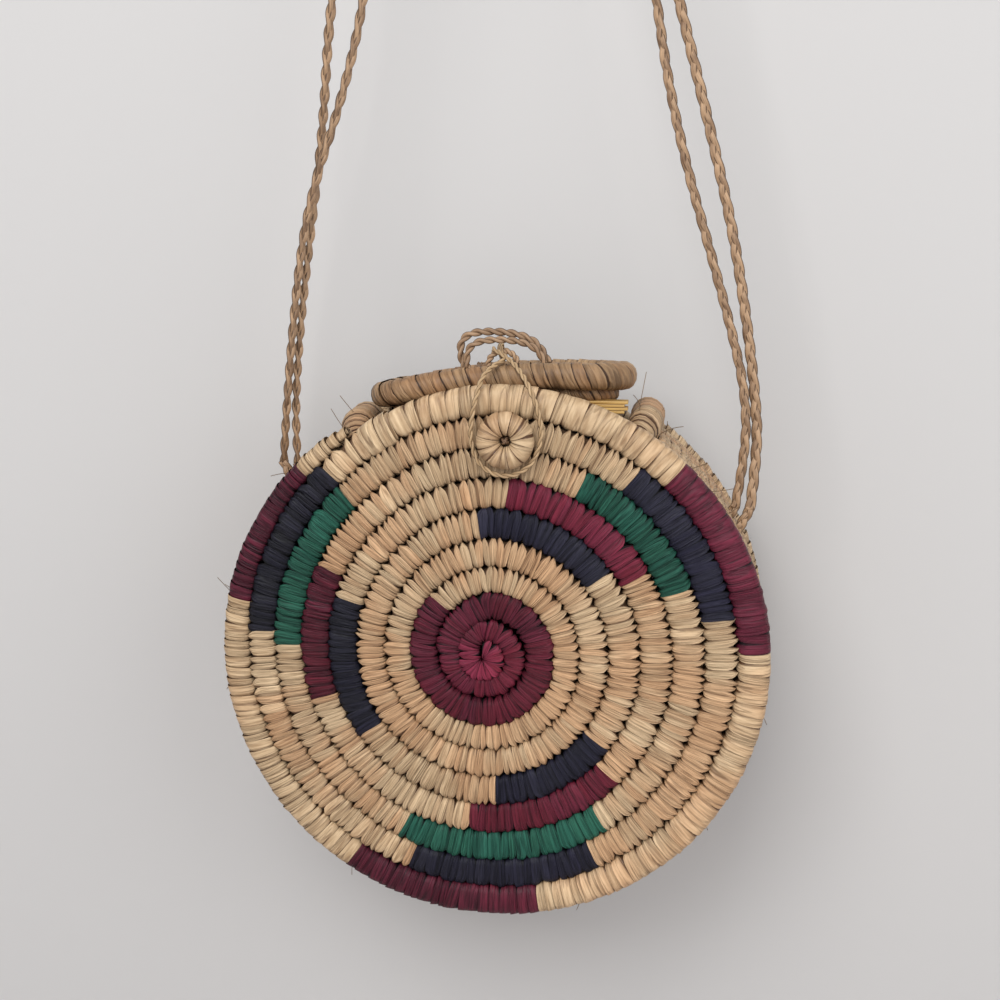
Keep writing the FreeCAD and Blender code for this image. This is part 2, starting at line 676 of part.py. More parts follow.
def closing_loop():
    """The thin loop: an eye round the keeper and two branches that meet below the button."""
    tube = size("loop_tube")
    eye_ring = size("keeper_tube") + size("loop_eye_fit") + tube
    apex = Vector(0, -keeper_out, keeper_up + size("keeper_ring"))
    eye_at = LID_PLACE.multVec(apex) - DROP.Base
    along_lid = LID_TURN.multVec(Vector(1, 0, 0))
    eye = Part.makeTorus(eye_ring, tube, eye_at, along_lid)
    knot = eye_at + Vector(0, -eye_ring, 0)
    middle = len(LOOP_ROUTE) // 2
    bottom = (Vector(*LOOP_ROUTE[middle - 1]) + Vector(*LOOP_ROUTE[middle])) / 2
    left = cord("closing_loop left", [knot - along_lid * tube / 2, *LOOP_ROUTE[:middle], bottom], tube)
    right = cord("closing_loop right", [bottom, *LOOP_ROUTE[middle:], knot + along_lid * tube / 2], tube)
    feature("closing_loop", eye.multiFuse([left, right]).removeSplitter().Solids[0])
    return eye_at


loop_axis = closing_loop()

doc.recompute()
for item in doc.Objects:
    if "Invalid" in item.State or "Error" in item.State:
        raise RuntimeError(f"{item.Label} did not build: {item.State}")
for item in sub_parts:
    if item.Shape.isNull() or not item.Shape.isValid():
        raise RuntimeError(f"{item.Label} has no valid shape")

os.makedirs("parts", exist_ok=True)
for item in sub_parts:
    item.Shape.exportStep(f"parts/{item.Label}.step")
    print(f"{item.Label}: {len(item.Shape.Solids)} solids, {item.Shape.Volume:.0f} cubic millimetres")


def show_axis(name, at, way):
    """A joint's place and direction in the part's own frame."""
    at = at + DROP.Base
    print(f"{name}: at {at.x:.3f} {at.y:.3f} {at.z:.3f}, along {way.x:.5f} {way.y:.5f} {way.z:.5f}")


lid_along = LID_TURN.multVec(Vector(1, 0, 0))
show_axis("bag swing", left_inner, swing_axis)
show_axis("lid hinge", Vector(0, hinge_out, hinge_up), Vector(-1, 0, 0))
show_axis("loop lift", loop_axis, lid_along)
show_axis("pull handle", LID_PLACE.multVec(Vector(0, -pull_out, pull_up)) - DROP.Base, lid_along)
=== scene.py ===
# %% [markdown]
# # A round bag of coiled palm leaf
# Two round panels, each one coil wound with strips of palm leaf, stand either side of a narrow
# band of coil rows. An oval lid closes the mouth with a loop and a button, and two plaited cords
# carry the bag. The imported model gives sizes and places, and this lesson adds leaf, fibre and
# dye. We work in metres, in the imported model's frame; small sizes are millimetres times MM.

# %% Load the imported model
import math

import bpy
import numpy as np
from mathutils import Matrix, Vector


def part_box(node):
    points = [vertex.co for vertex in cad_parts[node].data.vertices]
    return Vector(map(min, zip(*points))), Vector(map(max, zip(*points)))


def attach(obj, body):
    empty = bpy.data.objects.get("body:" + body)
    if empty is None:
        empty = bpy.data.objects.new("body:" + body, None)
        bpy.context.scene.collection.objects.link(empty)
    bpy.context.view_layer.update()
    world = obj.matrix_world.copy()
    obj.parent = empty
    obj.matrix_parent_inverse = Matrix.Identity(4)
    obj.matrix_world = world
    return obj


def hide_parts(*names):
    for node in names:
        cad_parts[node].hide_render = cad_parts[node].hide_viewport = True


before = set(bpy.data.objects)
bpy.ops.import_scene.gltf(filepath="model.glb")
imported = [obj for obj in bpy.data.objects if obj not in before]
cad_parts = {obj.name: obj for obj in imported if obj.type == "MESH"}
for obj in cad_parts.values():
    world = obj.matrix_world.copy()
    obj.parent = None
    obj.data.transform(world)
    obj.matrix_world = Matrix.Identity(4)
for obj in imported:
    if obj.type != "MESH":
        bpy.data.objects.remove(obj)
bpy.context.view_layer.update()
MM = 0.001
DISC = np.array((0.0, 0.0, -398.7)) * MM

# %% [markdown]
# ## Writing finishes as sums
# A finish is a tree of shader nodes, and wired socket by socket its sums are hard to read. So
# `Wire` wraps one output, `1 - mask` adds the Math node it needs, and `Finish.add` makes any
# other node from its type, its settings and what goes into its sockets.

# %% Wire
class Wire:
    """One output of a shader node; sums with it add Math nodes."""

    def __init__(self, finish, socket):
        self.finish = finish
        self.socket = socket

    def sum(self, operation, first, second):
        return self.finish.add("ShaderNodeMath", {"operation": operation}, {0: first, 1: second})

    def __add__(self, other):
        return self.sum("ADD", self, other)

    def __sub__(self, other):
        return self.sum("SUBTRACT", self, other)

    def __rsub__(self, other):
        return self.sum("SUBTRACT", other, self)

    def __mul__(self, other):
        return self.sum("MULTIPLY", self, other)


# %% Finish
class Finish:
    """A material and its shader, with one method for every kind of node."""

    def __init__(self, name):
        self.material = bpy.data.materials.new(name)
        self.material.use_nodes = True
        self.nodes = self.material.node_tree.nodes
        self.shader = self.nodes["Principled BSDF"]

    def plug(self, socket, value):
        if isinstance(value, Wire):
            self.material.node_tree.links.new(value.socket, socket)
        else:
            socket.default_value = value

    def add(self, kind, settings, sockets, output=0):
        node = self.nodes.new(kind)
        for name, value in settings.items():
            setattr(node, name, value)
        for name, value in sockets.items():
            self.plug(node.inputs[name], value)
        return Wire(self, node.outputs[output])

    def mix(self, share, first, second, mode="MIX", clamp=True):
        settings = {"data_type": "RGBA", "blend_type": mode, "clamp_factor": clamp}
        return self.add("ShaderNodeMix", settings, {0: share, 6: first, 7: second}, 2)

    def noise(self, place, scale, detail):
        return self.add("ShaderNodeTexNoise", {}, {"Vector": place, "Scale": scale, "Detail": detail})

    def stretch(self, place, factors):
        return self.add("ShaderNodeVectorMath", {"operation": "MULTIPLY"}, {0: place, 1: factors})

    def between(self, value, low, high):
        return self.add("ShaderNodeMapRange", {"interpolation_type": "SMOOTHSTEP"},
                        {"Value": value, "From Min": low, "From Max": high})

    def strip_values(self):
        """The three values that each point of a strip or strand keeps."""
        values = self.add("ShaderNodeAttribute", {"attribute_name": "strip"}, {}, "Color")
        first = self.add("ShaderNodeSeparateColor", {}, {"Color": values})
        return [Wire(self, output) for output in first.socket.node.outputs]

    def streaks(self, across, lengthwise, detail):
        """Noise that is drawn out along a strip or strand: how often it changes in a millimetre."""
        along = self.add("ShaderNodeUVMap", {"uv_map": "along"}, {})
        return self.noise(self.stretch(along, (across, lengthwise, 1.0)), 1.0, detail)

    def bump(self, height, strength, distance):
        return self.add("ShaderNodeBump", {}, {"Strength": strength, "Distance": distance, "Height": height})

    def set(self, **sockets):
        for name, value in sockets.items():
            self.plug(self.shader.inputs[name.replace("_", " ")], value)
        return self.material


def srgb(red, green, blue):
    """A colour as seen on a screen, from 0 to 255, as the shader wants it."""
    def linear(value):
        value = value / 255
        return value / 12.92 if value <= 0.04045 else ((value + 0.055) / 1.055) ** 2.4
    return (linear(red), linear(green), linear(blue), 1.0)


# %% [markdown]
# ## The view and the stage
# The bag hangs against a pale wall and is seen from a little above, slightly from the right.
# A plain wall and floor light it as a room would, and are see-through from behind, so that its
# back can be looked at too. A wide soft lamp above the viewer does most of the work.

# %% Camera
CAMERA_TILT = math.radians(78.6)
CAMERA_TURN = math.radians(6.7)

bpy.ops.object.select_all(action="DESELECT")
bpy.ops.object.camera_add(location=(0.0693, -0.5914, -0.2201), rotation=(CAMERA_TILT, 0, CAMERA_TURN))
camera = bpy.context.object
camera.data.sensor_width = 36
camera.data.lens = 53.3
camera.data.clip_start = 0.01
bpy.context.scene.camera = camera
print("camera", tuple(round(c, 3) for c in camera.location), "lens", camera.data.lens)

# %% Wall and floor
WALL_GAP = 0.06
FLOOR_HEIGHT = -0.66
STAGE_WIDTH = 3.0
WALL_HEIGHT = 2.6
FLOOR_DEPTH = 2.4


def stage_plane(name, size, location, rotation, colour):
    """A plain stage surface that shows from its front only."""
    bpy.ops.object.select_all(action="DESELECT")
    bpy.ops.mesh.primitive_plane_add(size=1, location=location, rotation=rotation)
    plane = bpy.context.object
    plane.name = name
    plane.scale = (*size, 1)
    bpy.ops.object.transform_apply(location=True, rotation=True, scale=True)
    finish = Finish(name + "_paint")
    facing = finish.add("ShaderNodeNewGeometry", {}, {}, "Backfacing")
    clear = finish.add("ShaderNodeBsdfTransparent", {}, {})
    finish.set(Base_Color=colour, Roughness=0.9)
    paint = Wire(finish, finish.shader.outputs[0])
    seen = finish.add("ShaderNodeMixShader", {}, {0: facing, 1: paint, 2: clear})
    finish.plug(finish.nodes["Material Output"].inputs["Surface"], seen)
    plane.data.materials.append(finish.material)
    print(f"{name}: {size[0]} by {size[1]} m")


stage_plane("wall", (STAGE_WIDTH, WALL_HEIGHT), (0, WALL_GAP, FLOOR_HEIGHT + WALL_HEIGHT / 2),
            (math.radians(90), 0, 0), srgb(205, 203, 201))
stage_plane("floor", (STAGE_WIDTH, FLOOR_DEPTH), (0, WALL_GAP - FLOOR_DEPTH / 2, FLOOR_HEIGHT),
            (0, 0, 0), srgb(196, 190, 188))

# %% Lamps and sky
LAMP_TARGET = Vector((0, 0, -0.38))
LAMP_SIZE = 0.9


def lamp(name, location, power):
    """A square soft lamp that points at the bag."""
    bpy.ops.object.light_add(type="AREA", location=location)
    light = bpy.context.object
    light.name = name
    light.data.size = LAMP_SIZE
    light.data.energy = power
    light.rotation_euler = (LAMP_TARGET - Vector(location)).to_track_quat("-Z", "Y").to_euler()
    print(f"{name}: {power} W")


lamp("window", (-0.3, -1.2, 0.6), 15)
lamp("bounce", (0.9, -0.9, 0.2), 5)
world = bpy.data.worlds.new("room")
world.use_nodes = True
sky = world.node_tree.nodes["Background"]
sky.inputs["Color"].default_value = (0.92, 0.95, 1.0, 1)
sky.inputs["Strength"].default_value = 0.57
bpy.context.scene.world = world
bpy.context.scene.view_settings.view_transform = "Standard"

# %% [markdown]
# ## Bundles
# The bag has thousands of leaf strips and strands. As objects they would be slow, so each is a
# small grid of points, and a bundle gathers the grids of one piece. Each point also keeps where
# it lies along its strip, in millimetres, which the finish reads as fibre, and three values:
# how light the strip is, how warm, and how far the point is from the crease beside it.

# %% Bundle
class Bundle:
    """Grids of points that become one mesh."""

    def __init__(self):
        self.points, self.faces, self.along, self.strip = [], [], [], []
        self.count = 0

    def add(self, points, faces, along, strip):
        self.points.append(np.asarray(points).reshape(-1, 3))
        self.faces += [[corner + self.count for corner in face] for face in faces]
        self.along.append(np.asarray(along).reshape(-1, 2))
        self.strip.append(np.asarray(strip).reshape(-1, 3))
        self.count += len(self.points[-1])

    def piece(self, name, body, material, slot, *nodes):
        """Makes the mesh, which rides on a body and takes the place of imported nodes."""
        points = np.concatenate(self.points)
        mesh = bpy.data.meshes.new(name)
        mesh.from_pydata(points.tolist(), [], self.faces)
        corners = np.empty(len(mesh.loops), dtype=np.int32)
        mesh.loops.foreach_get("vertex_index", corners)
        along = np.concatenate(self.along)[corners]
        mesh.uv_layers.new(name="along").data.foreach_set("uv", along.astype(np.float32).ravel())
        strip = np.ones((len(points), 4), dtype=np.float32)
        strip[:, :3] = np.concatenate(self.strip)
        mesh.attributes.new("strip", "FLOAT_COLOR", "POINT").data.foreach_set("color", strip.ravel())
        mesh.shade_smooth()
        mesh.materials.append(material)
        item = bpy.data.objects.new(name, mesh)
        bpy.context.scene.collection.objects.link(item)
        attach(item, body)
        if nodes:
            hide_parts(*nodes)
        print(f"{name}: {len(self.faces)} faces")
        return item


def tube_faces(rings, sides, closed=False):
    """Corner numbers of a tube's quads, and of the face that closes each end of an open one."""
    ring, side = np.meshgrid(np.arange(rings - 1), np.arange(sides), indexing="ij")
    after = (side + 1) % sides
    low, high = ring * sides, (ring + 1) * sides
    quads = np.stack((low + side, low + after, high + after, high + side), axis=-1).reshape(-1, 4)
    if closed:
        return (quads % ((rings - 1) * sides)).tolist()
    first = list(range(sides))[::-1]
    last = list(range((rings - 1) * sides, rings * sides))
    return quads.tolist() + [first, last]


# %% [markdown]
# ## A line to wind on
# Every row of coil, cord and tie follows a line. A curve object could carry it, but the strips
# need to know where they are, so a `Line` holds points, the way its face looks and the way its
# side looks, and gives all three at any distance along it.

# %% Line
def unit(vectors):
    return vectors / np.linalg.norm(vectors, axis=-1, keepdims=True)


class Line:
    """Points with a face and a side, read by the distance along them."""

    def __init__(self, points, face, closed=False):
        points = np.asarray(points, dtype=float)
        self.closed = closed
        runs = np.linalg.norm(np.diff(points, axis=0), axis=1)
        self.reach = np.concatenate(([0.0], np.cumsum(runs)))
        self.length = self.reach[-1]
        way = unit(np.gradient(points, self.reach, axis=0))
        face = np.broadcast_to(np.asarray(face, dtype=float), points.shape)
        side = unit(np.cross(face, way))
        self.frame = np.concatenate((points, np.cross(way, side), side), axis=1)

    def at(self, reach):
        """Place, face and side at each distance."""
        reach = np.mod(reach, self.length) if self.closed else np.clip(reach, 0, self.length)
        read = np.stack([np.interp(reach, self.reach, column) for column in self.frame.T], axis=-1)
        return read[..., 0:3], read[..., 3:6], read[..., 6:9]

    def samples(self, step):
        """Distances along the whole line, about a step apart."""
        return np.linspace(0, self.length, max(3, int(self.length / step)))


# %% [markdown]
# ## Plaited strap
# The two strap cords are three-strand plaits. A tube with a bump would look like rope only from
# afar, so the strands are real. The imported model's route steers a smooth NURBS line, read back
# as points, and the strands swing from side to side along it, over and under each other.

# %% Strap routes
# Points from a cord's left end to its right one, in millimetres.
STRAP_FRONT = (
    (-90.5, 0.0, -326.0), (-88.9, -2.7, -310.7), (-83.0, -3.0, -256.7), (-76.5, -3.0, -219.7),
    (-62.5, -3.0, -181.7), (-52.5, -3.0, -144.7), (-46.5, -3.0, -96.7), (-40.0, -3.0, -52.7),
    (-27.0, -3.0, -14.7), (-9.5, -3.0, 2.3), (9.5, -3.0, 2.3), (28.0, -3.0, -14.7), (43.5, -3.0, -52.7),
    (52.0, -3.0, -96.7), (59.5, -3.0, -144.7), (65.0, -3.0, -176.7), (73.0, -3.0, -208.7),
    (82.0, -3.0, -237.7), (91.0, -3.0, -267.7), (97.5, -2.9, -292.7), (99.0, -2.2, -316.7),
    (95.1, 0.0, -341.1),
)
STRAP_BACK = (
    (-84.6, 0.0, -326.5), (-86.2, 2.7, -308.7), (-83.0, 3.0, -270.7), (-77.0, 3.0, -228.7),
    (-71.5, 3.0, -192.7), (-68.0, 3.0, -148.7), (-59.5, 3.0, -100.7), (-45.0, 3.0, -55.7),
    (-27.0, 3.0, -14.7), (-9.5, 3.0, 2.3), (9.5, 3.0, 2.3), (27.0, 3.0, -14.7), (41.0, 3.0, -52.7),
    (54.5, 3.0, -96.7), (68.0, 3.0, -144.2), (82.0, 3.0, -195.7), (90.5, 3.0, -228.7),
    (96.5, 3.0, -259.7), (101.5, 2.9, -292.7), (103.8, 2.2, -317.7), (101.1, 0.0, -341.6),
)


def smooth_route(name, route):
    """Points along the NURBS line that a route's points, in metres, steer."""
    curve = bpy.data.curves.new(name, "CURVE")
    curve.dimensions = "3D"
    spline = curve.splines.new("NURBS")
    spline.points.add(len(route) - 1)
    for point, place in zip(spline.points, route):
        point.co = (*place, 1)
    spline.order_u = 3
    spline.use_endpoint_u = True
    spline.resolution_u = 24
    line = bpy.data.objects.new(name, curve)
    mesh = bpy.data.meshes.new_from_object(line)
    points = np.array([vertex.co for vertex in mesh.vertices])
    bpy.data.objects.remove(line)
    bpy.data.meshes.remove(mesh)
    return points


# %% Strands
STRAND_STEP = 0.9 * MM
# Millimetres of fibre pattern round a strand, and how far a shade shifts the pattern's start.
STRAND_PATTERN = 7.0
PATTERN_START = (37.0, 91.0)


def strand(bundle, line, offset, half_width, half_depth, shade, turn=0.0, step=STRAND_STEP, sides=8):
    """A strand with an oval section that swings about a line."""
    reach = line.samples(step)
    place, face, side = line.at(reach)
    aside, afore = offset(reach)
    turn = np.broadcast_to(turn, reach.shape)[:, None]
    across = side * np.cos(turn) + face * np.sin(turn)
    front = face * np.cos(turn) - side * np.sin(turn)
    middle = place + across * aside[:, None] + front * afore[:, None]
    way = unit(np.gradient(middle, axis=0))
    across = unit(across - way * np.sum(across * way, axis=1, keepdims=True))
    front = np.cross(way, across)
    around = np.linspace(0, 2 * math.pi, sides, endpoint=False)
    points = (middle[:, None] + across[:, None] * (half_width * np.cos(around))[None, :, None]
              + front[:, None] * (half_depth * np.sin(around))[None, :, None])
    pattern = around[None, :] / (2 * math.pi) * STRAND_PATTERN
    along = np.stack(np.broadcast_arrays(pattern, reach[:, None] / MM), axis=-1)
    along = along + np.array(shade) * PATTERN_START
    strip = np.empty(points.shape)
    strip[..., :2] = shade
    # The third value grows towards the strand's flat edges, where the finish paints shade.
    strip[..., 2] = np.abs(np.cos(around)) ** 2
    bundle.add(points, tube_faces(len(reach), sides), along, strip)


# %% Plaits and twists
# Shares of a plait's width: how far its strands swing aside and rise, and their half sizes.
PLAIT_SWING = 0.22
PLAIT_RISE = 0.16
PLAIT_HALF_WIDTH = 0.3
PLAIT_HALF_DEPTH = 0.12
# Shares of a twist's radius: how far its strands lie from its middle, and their own radius.
TWIST_RING = 0.47
TWIST_STRAND = 0.56


def plait(bundle, line, width, period, turn, shade):
    """Three strands plaited flat."""
    for number in range(3):
        def offset(reach, phase=2 * math.pi * number / 3):
            swing = 2 * math.pi * reach / period + phase
            return PLAIT_SWING * width * np.sin(swing), PLAIT_RISE * width * np.sin(2 * swing)

        strand(bundle, line, offset, PLAIT_HALF_WIDTH * width, PLAIT_HALF_DEPTH * width,
               (shade[0] + 0.12 * number, shade[1]), turn)


def twist(bundle, line, radius, period, shade):
    """Two strands laid round each other."""
    for number in range(2):
        def offset(reach, phase=math.pi * number):
            swing = 2 * math.pi * reach / period + phase
            return TWIST_RING * radius * np.cos(swing), TWIST_RING * radius * np.sin(swing)

        strand(bundle, line, offset, TWIST_STRAND * radius, TWIST_STRAND * radius,
               (shade[0] + 0.08 * number, shade[1]), step=STRAND_STEP / 2)


# %% Cord finish
def fibre_finish(name, dark, pale, rough=0.62):
    """Twisted leaf fibre: fine streaks along each strand, and painted shade at its tucked-in edges."""
    finish = Finish(name)
    shade, _, edge = finish.strip_values()
    streak = finish.streaks(2.6, 0.22, 4.0)
    patch = finish.streaks(0.25, 0.09, 2.0)
    tone = finish.between(streak * 0.55 + patch * 0.35 + shade * 0.5, 0.35, 0.95)
    colour = finish.mix(tone, dark, pale)
    # Painted shade: the strand's edges, tucked under its neighbours, are drawn dark.
    hollow_shade = tuple(0.25 * value for value in dark)
    colour = finish.mix(finish.between(edge, 0.35, 1.0) * 0.85, colour, hollow_shade)
    return finish.set(Base_Color=colour, Roughness=rough, Normal=finish.bump(streak, 0.5, 0.4 * MM))


cord_finish = fibre_finish("plaited_cord", srgb(92, 64, 44), srgb(202, 166, 130))
print("finish:", cord_finish.name)

# %% Strap cords
STRAP_PERIOD = 23.5 * MM
# The plaits turn about their lines: shares of the length, and each cord's degrees there.
TURN_AT = (0, 0.45, 0.55, 1)
TURN_FRONT = (55, 30, 25, 12)
TURN_BACK = (70, 30, 20, 8)


def strap_cord(name, route, node, width, shade, degrees):
    """One plaited cord of the strap; it prints the length of its line."""
    route = (np.array(route) * MM).tolist()
    path = smooth_route(name + "_line", route)
    line = Line(path, (0, -1, 0))
    share = np.linspace(0, 1, len(line.samples(STRAND_STEP)))
    bundle = Bundle()
    plait(bundle, line, width, STRAP_PERIOD, np.interp(share, TURN_AT, np.radians(degrees)), shade)
    cord = bundle.piece(name, "strap", cord_finish, "cord", node)
    print(f"{name}: {line.length:.3f} m")


strap_cord("strap_front", STRAP_FRONT, "strap_cord_front", 3.9 * MM, (0.3, 0.4), TURN_FRONT)
strap_cord("strap_back", STRAP_BACK, "strap_cord_back", 4.3 * MM, (0.4, 0.5), TURN_BACK)

# %% [markdown]
# ## One leaf wrap
# The weaver lays a strip of leaf over the coil, pulls it through the row below and lays the
# next one over its edge. A picture of leaf would stay flat at the edges, so each strip is a
# mesh. One is modelled flat, by hand: a grid, raised along its middle and drawn to a point where
# it dives under the next row. `wind` then bends copies round a row, no two quite alike.

# %% Flat leaf strips
STRIP_COLUMNS = 4
STRIP_ROWS = 16


def leaf_strip(name, pinches):
    """A strip one unit wide and one turn long: pinches gives its width at places along it."""
    bpy.ops.object.select_all(action="DESELECT")
    bpy.ops.mesh.primitive_grid_add(x_subdivisions=STRIP_COLUMNS, y_subdivisions=STRIP_ROWS, size=1)
    strip = bpy.context.object
    strip.name = name

    def choose(chosen):
        bpy.ops.object.mode_set(mode="EDIT")
        bpy.ops.mesh.select_all(action="DESELECT")
        bpy.ops.object.mode_set(mode="OBJECT")
        for vertex in strip.data.vertices:
            vertex.select = chosen(vertex.co)
        bpy.ops.object.mode_set(mode="EDIT")

    across = np.array([vertex.co.x for vertex in strip.data.vertices])
    for half_width, rise in ((0.3, 0.75), (0.1, 0.25)):
        choose(lambda place: abs(place.x) < half_width)
        bpy.ops.transform.translate(value=(0, 0, rise))
    for row, width in pinches:
        choose(lambda place: abs(place.y - row) < 0.02)
        bpy.ops.transform.resize(value=(width, 1, 1), center_override=(0, 0, 0))
    bpy.ops.object.mode_set(mode="OBJECT")
    flat = np.array([vertex.co for vertex in strip.data.vertices])
    faces = np.array([face.vertices for face in strip.data.polygons])
    bpy.data.objects.remove(strip)
    ends_meet = len(flat) - (STRIP_COLUMNS + 1)
    return flat[:ends_meet], np.where(faces >= ends_meet, faces - ends_meet, faces), across[:ends_meet]


# Places run from -0.5 to 0.5 round the row: 0 is its face, 0.25 the outer side, -0.25 the inner.
PETAL = leaf_strip("petal", ((0.125, 0.86), (0.1875, 0.48), (0.25, 0.05), (0.3125, 0.5)))
TOOTH = leaf_strip("tooth", ((0.1875, 0.85), (0.25, 0.4), (0.3125, 0.6)))
BAND = leaf_strip("band", ((-0.25, 0.9), (0.25, 0.96)))
CUFF = leaf_strip("cuff", ((0.25, 0.94), (-0.25, 0.94)))
print("a leaf strip has", len(PETAL[1]), "faces")

# %% Sections of a row
# Degrees round a petal row, and the shares of its side and face there: the tips stand out
# over the next row, and the inner side rounds off.
PETAL_TURN = (-180, -135, -112.5, -90, -67.5, -45, -22.5, 0, 22.5, 45, 67.5, 90, 112.5, 135, 180)
PETAL_SIDE = (0, -0.79, -0.95, -1.0, -0.94, -0.76, -0.44, 0, 0.42, 0.72, 0.95, 1.14, 0.98, 0.79, 0)
PETAL_FACE = (-1, -0.79, -0.45, 0.1, 0.6, 0.88, 0.98, 1, 0.99, 0.95, 0.85, 0.64, -0.1, -0.79, -1)


def section(turn, power):
    """Side and face shares of a row's section: a petal's without power, round at 2, squarer above."""
    if power is None:
        degrees = np.degrees(turn)
        return np.interp(degrees, PETAL_TURN, PETAL_SIDE), np.interp(degrees, PETAL_TURN, PETAL_FACE)
    aside, afore = np.sin(turn), np.cos(turn)
    return (np.sign(aside) * np.abs(aside) ** (2 / power), np.sign(afore) * np.abs(afore) ** (2 / power))


# %% Tones and places of strips
def tones(random, count):
    """Light and warmth of strips in a row: a leaf gives several strips alike."""
    leaf_alike = np.repeat(random.random((count, 2)), random.integers(4, 12, count), axis=0)[:count]
    return np.clip(0.5 * leaf_alike + 0.5 * random.random((count, 2)), 0, 1)


def spaced(length, pitch, random, jitter=0.12):
    """Places along a line, a pitch apart and a little uneven, and how far apart they are."""
    count = max(1, round(length / pitch))
    step = length / count
    return step * (np.arange(count) + 0.5 + random.uniform(-jitter, jitter, count)), np.full(count, step)


def by_pairs(places, steps):
    """Middle and span of the two neighbours that each strip is one of."""
    starts = np.arange(0, len(places), 2)
    span = np.add.reduceat(steps, starts)
    middle = places[starts] - steps[starts] / 2 + span / 2
    return np.repeat(middle, 2)[:len(places)], np.repeat(span, 2)[:len(places)]


# %% Winding
# How strips differ: shares of their width, arch and tilt, and how far their tips stray.
WIDTH_RANGE = (0.94, 1.1)
ARCH_RANGE = (0.5, 1.4)
TILT_RANGE = (0.5, 1.5)
TIP_LENGTH_RANGE = (-0.07, 0.07)
TIP_STRAY_RANGE = (-0.3, 0.3)
# Each strip starts elsewhere in the fibre pattern, and a broad one has fewer fibres across.
PATTERN_RANGE = (0, 400)
BROAD_STRIP = 4.2 * MM
BROAD_PATTERN = 1.5


def wind(bundle, line, form, places, steps, wide, deep, random, lap, tone=None, tone_share=1.0,
         pairs=None, power=None, arch=0.15, swell=0.4, tilt=0.4, lean=0.0, slope=0.0, sway=0.3):
    """Bends a leaf strip round a row at each place along it.

    A strip is lap times its step wide, so that it lies over its neighbour's edge. Arch, swell,
    tilt, lean, slope and sway are in millimetres. Pairs share one bell with two outer tips.
    """
    flat, faces, across = form
    count = len(places)

    def vary(low, high):
        return random.uniform(low, high, count)[:, None]

    tone = tones(random, count) * tone_share if tone is None else tone
    size = steps[:, None] * lap * vary(*WIDTH_RANGE)
    turn = 2 * math.pi * flat[None, :, 1]
    outer = np.clip(np.sin(turn), 0, 1) ** 5 * (power is None)
    inner = np.clip(-np.sin(turn), 0, 1) ** 3
    reach = places[:, None] + size * flat[None, :, 0]
    aside, afore = section(turn, power)
    height = flat[None, :, 2] * arch * vary(*ARCH_RANGE)
    height = height + (0.5 + flat[None, :, 0]) * tilt * vary(*TILT_RANGE)
    # How far each point lies from the edge of the strip before it, in millimetres; the finish paints shade
    # next to that edge.
    before = np.roll(places + size[:, 0] / 2, 1)
    before[0] = before[0] - line.length if line.closed else places[0] - steps[0]
    bare = (places[:, None] + size * across[None, :] - before[:, None]) / MM
    if pairs is not None:
        middle, span = pairs[0][:, None], pairs[1][:, None]
        bell = np.clip(1 - 4 * ((reach - middle) / span) ** 2, 0, 1)
        aside = aside * (1 + inner * (0.2 * bell - 0.12) + outer * vary(*TIP_LENGTH_RANGE))
        height = height + swell * bell
        # The painted shade is weaker inside a pair and on the middle of the face, and darker towards the
        # round inner end.
        bare = bare + 0.2 * (places[:, None] > middle) + 0.3 * np.clip(np.cos(turn), 0, 1) ** 2
        bare = bare * (1 - 0.85 * inner)
        reach = reach - 0.1 * inner * (reach - middle) + size * outer * vary(*TIP_STRAY_RANGE)
    sway = random.normal(0, sway, count)[:, None]
    place, face, side = line.at(reach + ((lean + sway) * np.sin(turn) + slope * np.cos(turn)) * MM)
    points = (place + side * ((wide[:, None] + height * MM) * aside)[..., None]
              + face * ((deep[:, None] + height * MM) * afore)[..., None])
    pattern = across[None, :] * np.where(size > BROAD_STRIP, BROAD_PATTERN, size / MM) + vary(*PATTERN_RANGE)
    length = flat[None, :, 1] * 2 * math.pi * wide[:, None] / MM + vary(*PATTERN_RANGE)
    strip = np.empty((count, len(flat), 3))
    strip[..., :2] = tone[:, None]
    strip[..., 2] = bare
    copies = (faces[None] + (np.arange(count) * len(flat))[:, None, None]).reshape(-1, 4)
    bundle.add(points, copies.tolist(), np.stack((pattern, length), axis=-1), strip)


# %% [markdown]
# ## The coil under the leaf
# Under its leaf each row is a bundle of fibre, which shows only as dark creases between the
# strips. A plain tube a little thinner than the row is enough, and it lets no light through.
# Its colour is painted shade for those creases: dark brown, near black under dyed leaf, and the
# leaf's dark colour inside the rolls, the button and the lid.

# %% Bed
BED_STEP = 2.0 * MM
BED_PATTERN = 3.0


def bed(bundle, line, wide, deep=None, shade=None, sides=12, power=2.4):
    """The coil under the strips; its half width, half depth and shade are functions of reach."""
    reach = line.samples(BED_STEP)
    place, face, side = line.at(reach)
    wide, deep = wide(reach), (deep or wide)(reach)
    aside, afore = section(np.linspace(0, 2 * math.pi, sides, endpoint=False)[::-1], power)
    points = (place[:, None] + side[:, None] * (wide[:, None] * aside)[..., None]
              + face[:, None] * (deep[:, None] * afore)[..., None])
    pattern = np.arange(sides)[None, :] * BED_PATTERN
    along = np.stack(np.broadcast_arrays(pattern, reach[:, None] / MM), axis=-1)
    # The third value 0 makes a leaf finish draw the whole bed in its darkest colour, as painted shade.
    strip = np.tile(np.array((0.1, 0.5, 0.0)), (len(reach), sides, 1))
    if shade is not None:
        strip[..., 0] = shade(reach)[:, None]
    kept = slice(None, -1) if line.closed else slice(None)
    bundle.add(points[kept], tube_faces(len(reach), sides, line.closed), along[kept], strip[kept])


def even(size):
    """A size that stays the same along a line."""
    return lambda reach: np.full(reach.shape, size * MM)


# Fibre streaks, darkened to paint the shade where the bed shows between the strips.
bed_shade_finish = fibre_finish("coil_bed_shade", srgb(12, 8, 6), srgb(118, 86, 56), 0.85)
print("finish:", bed_shade_finish.name)
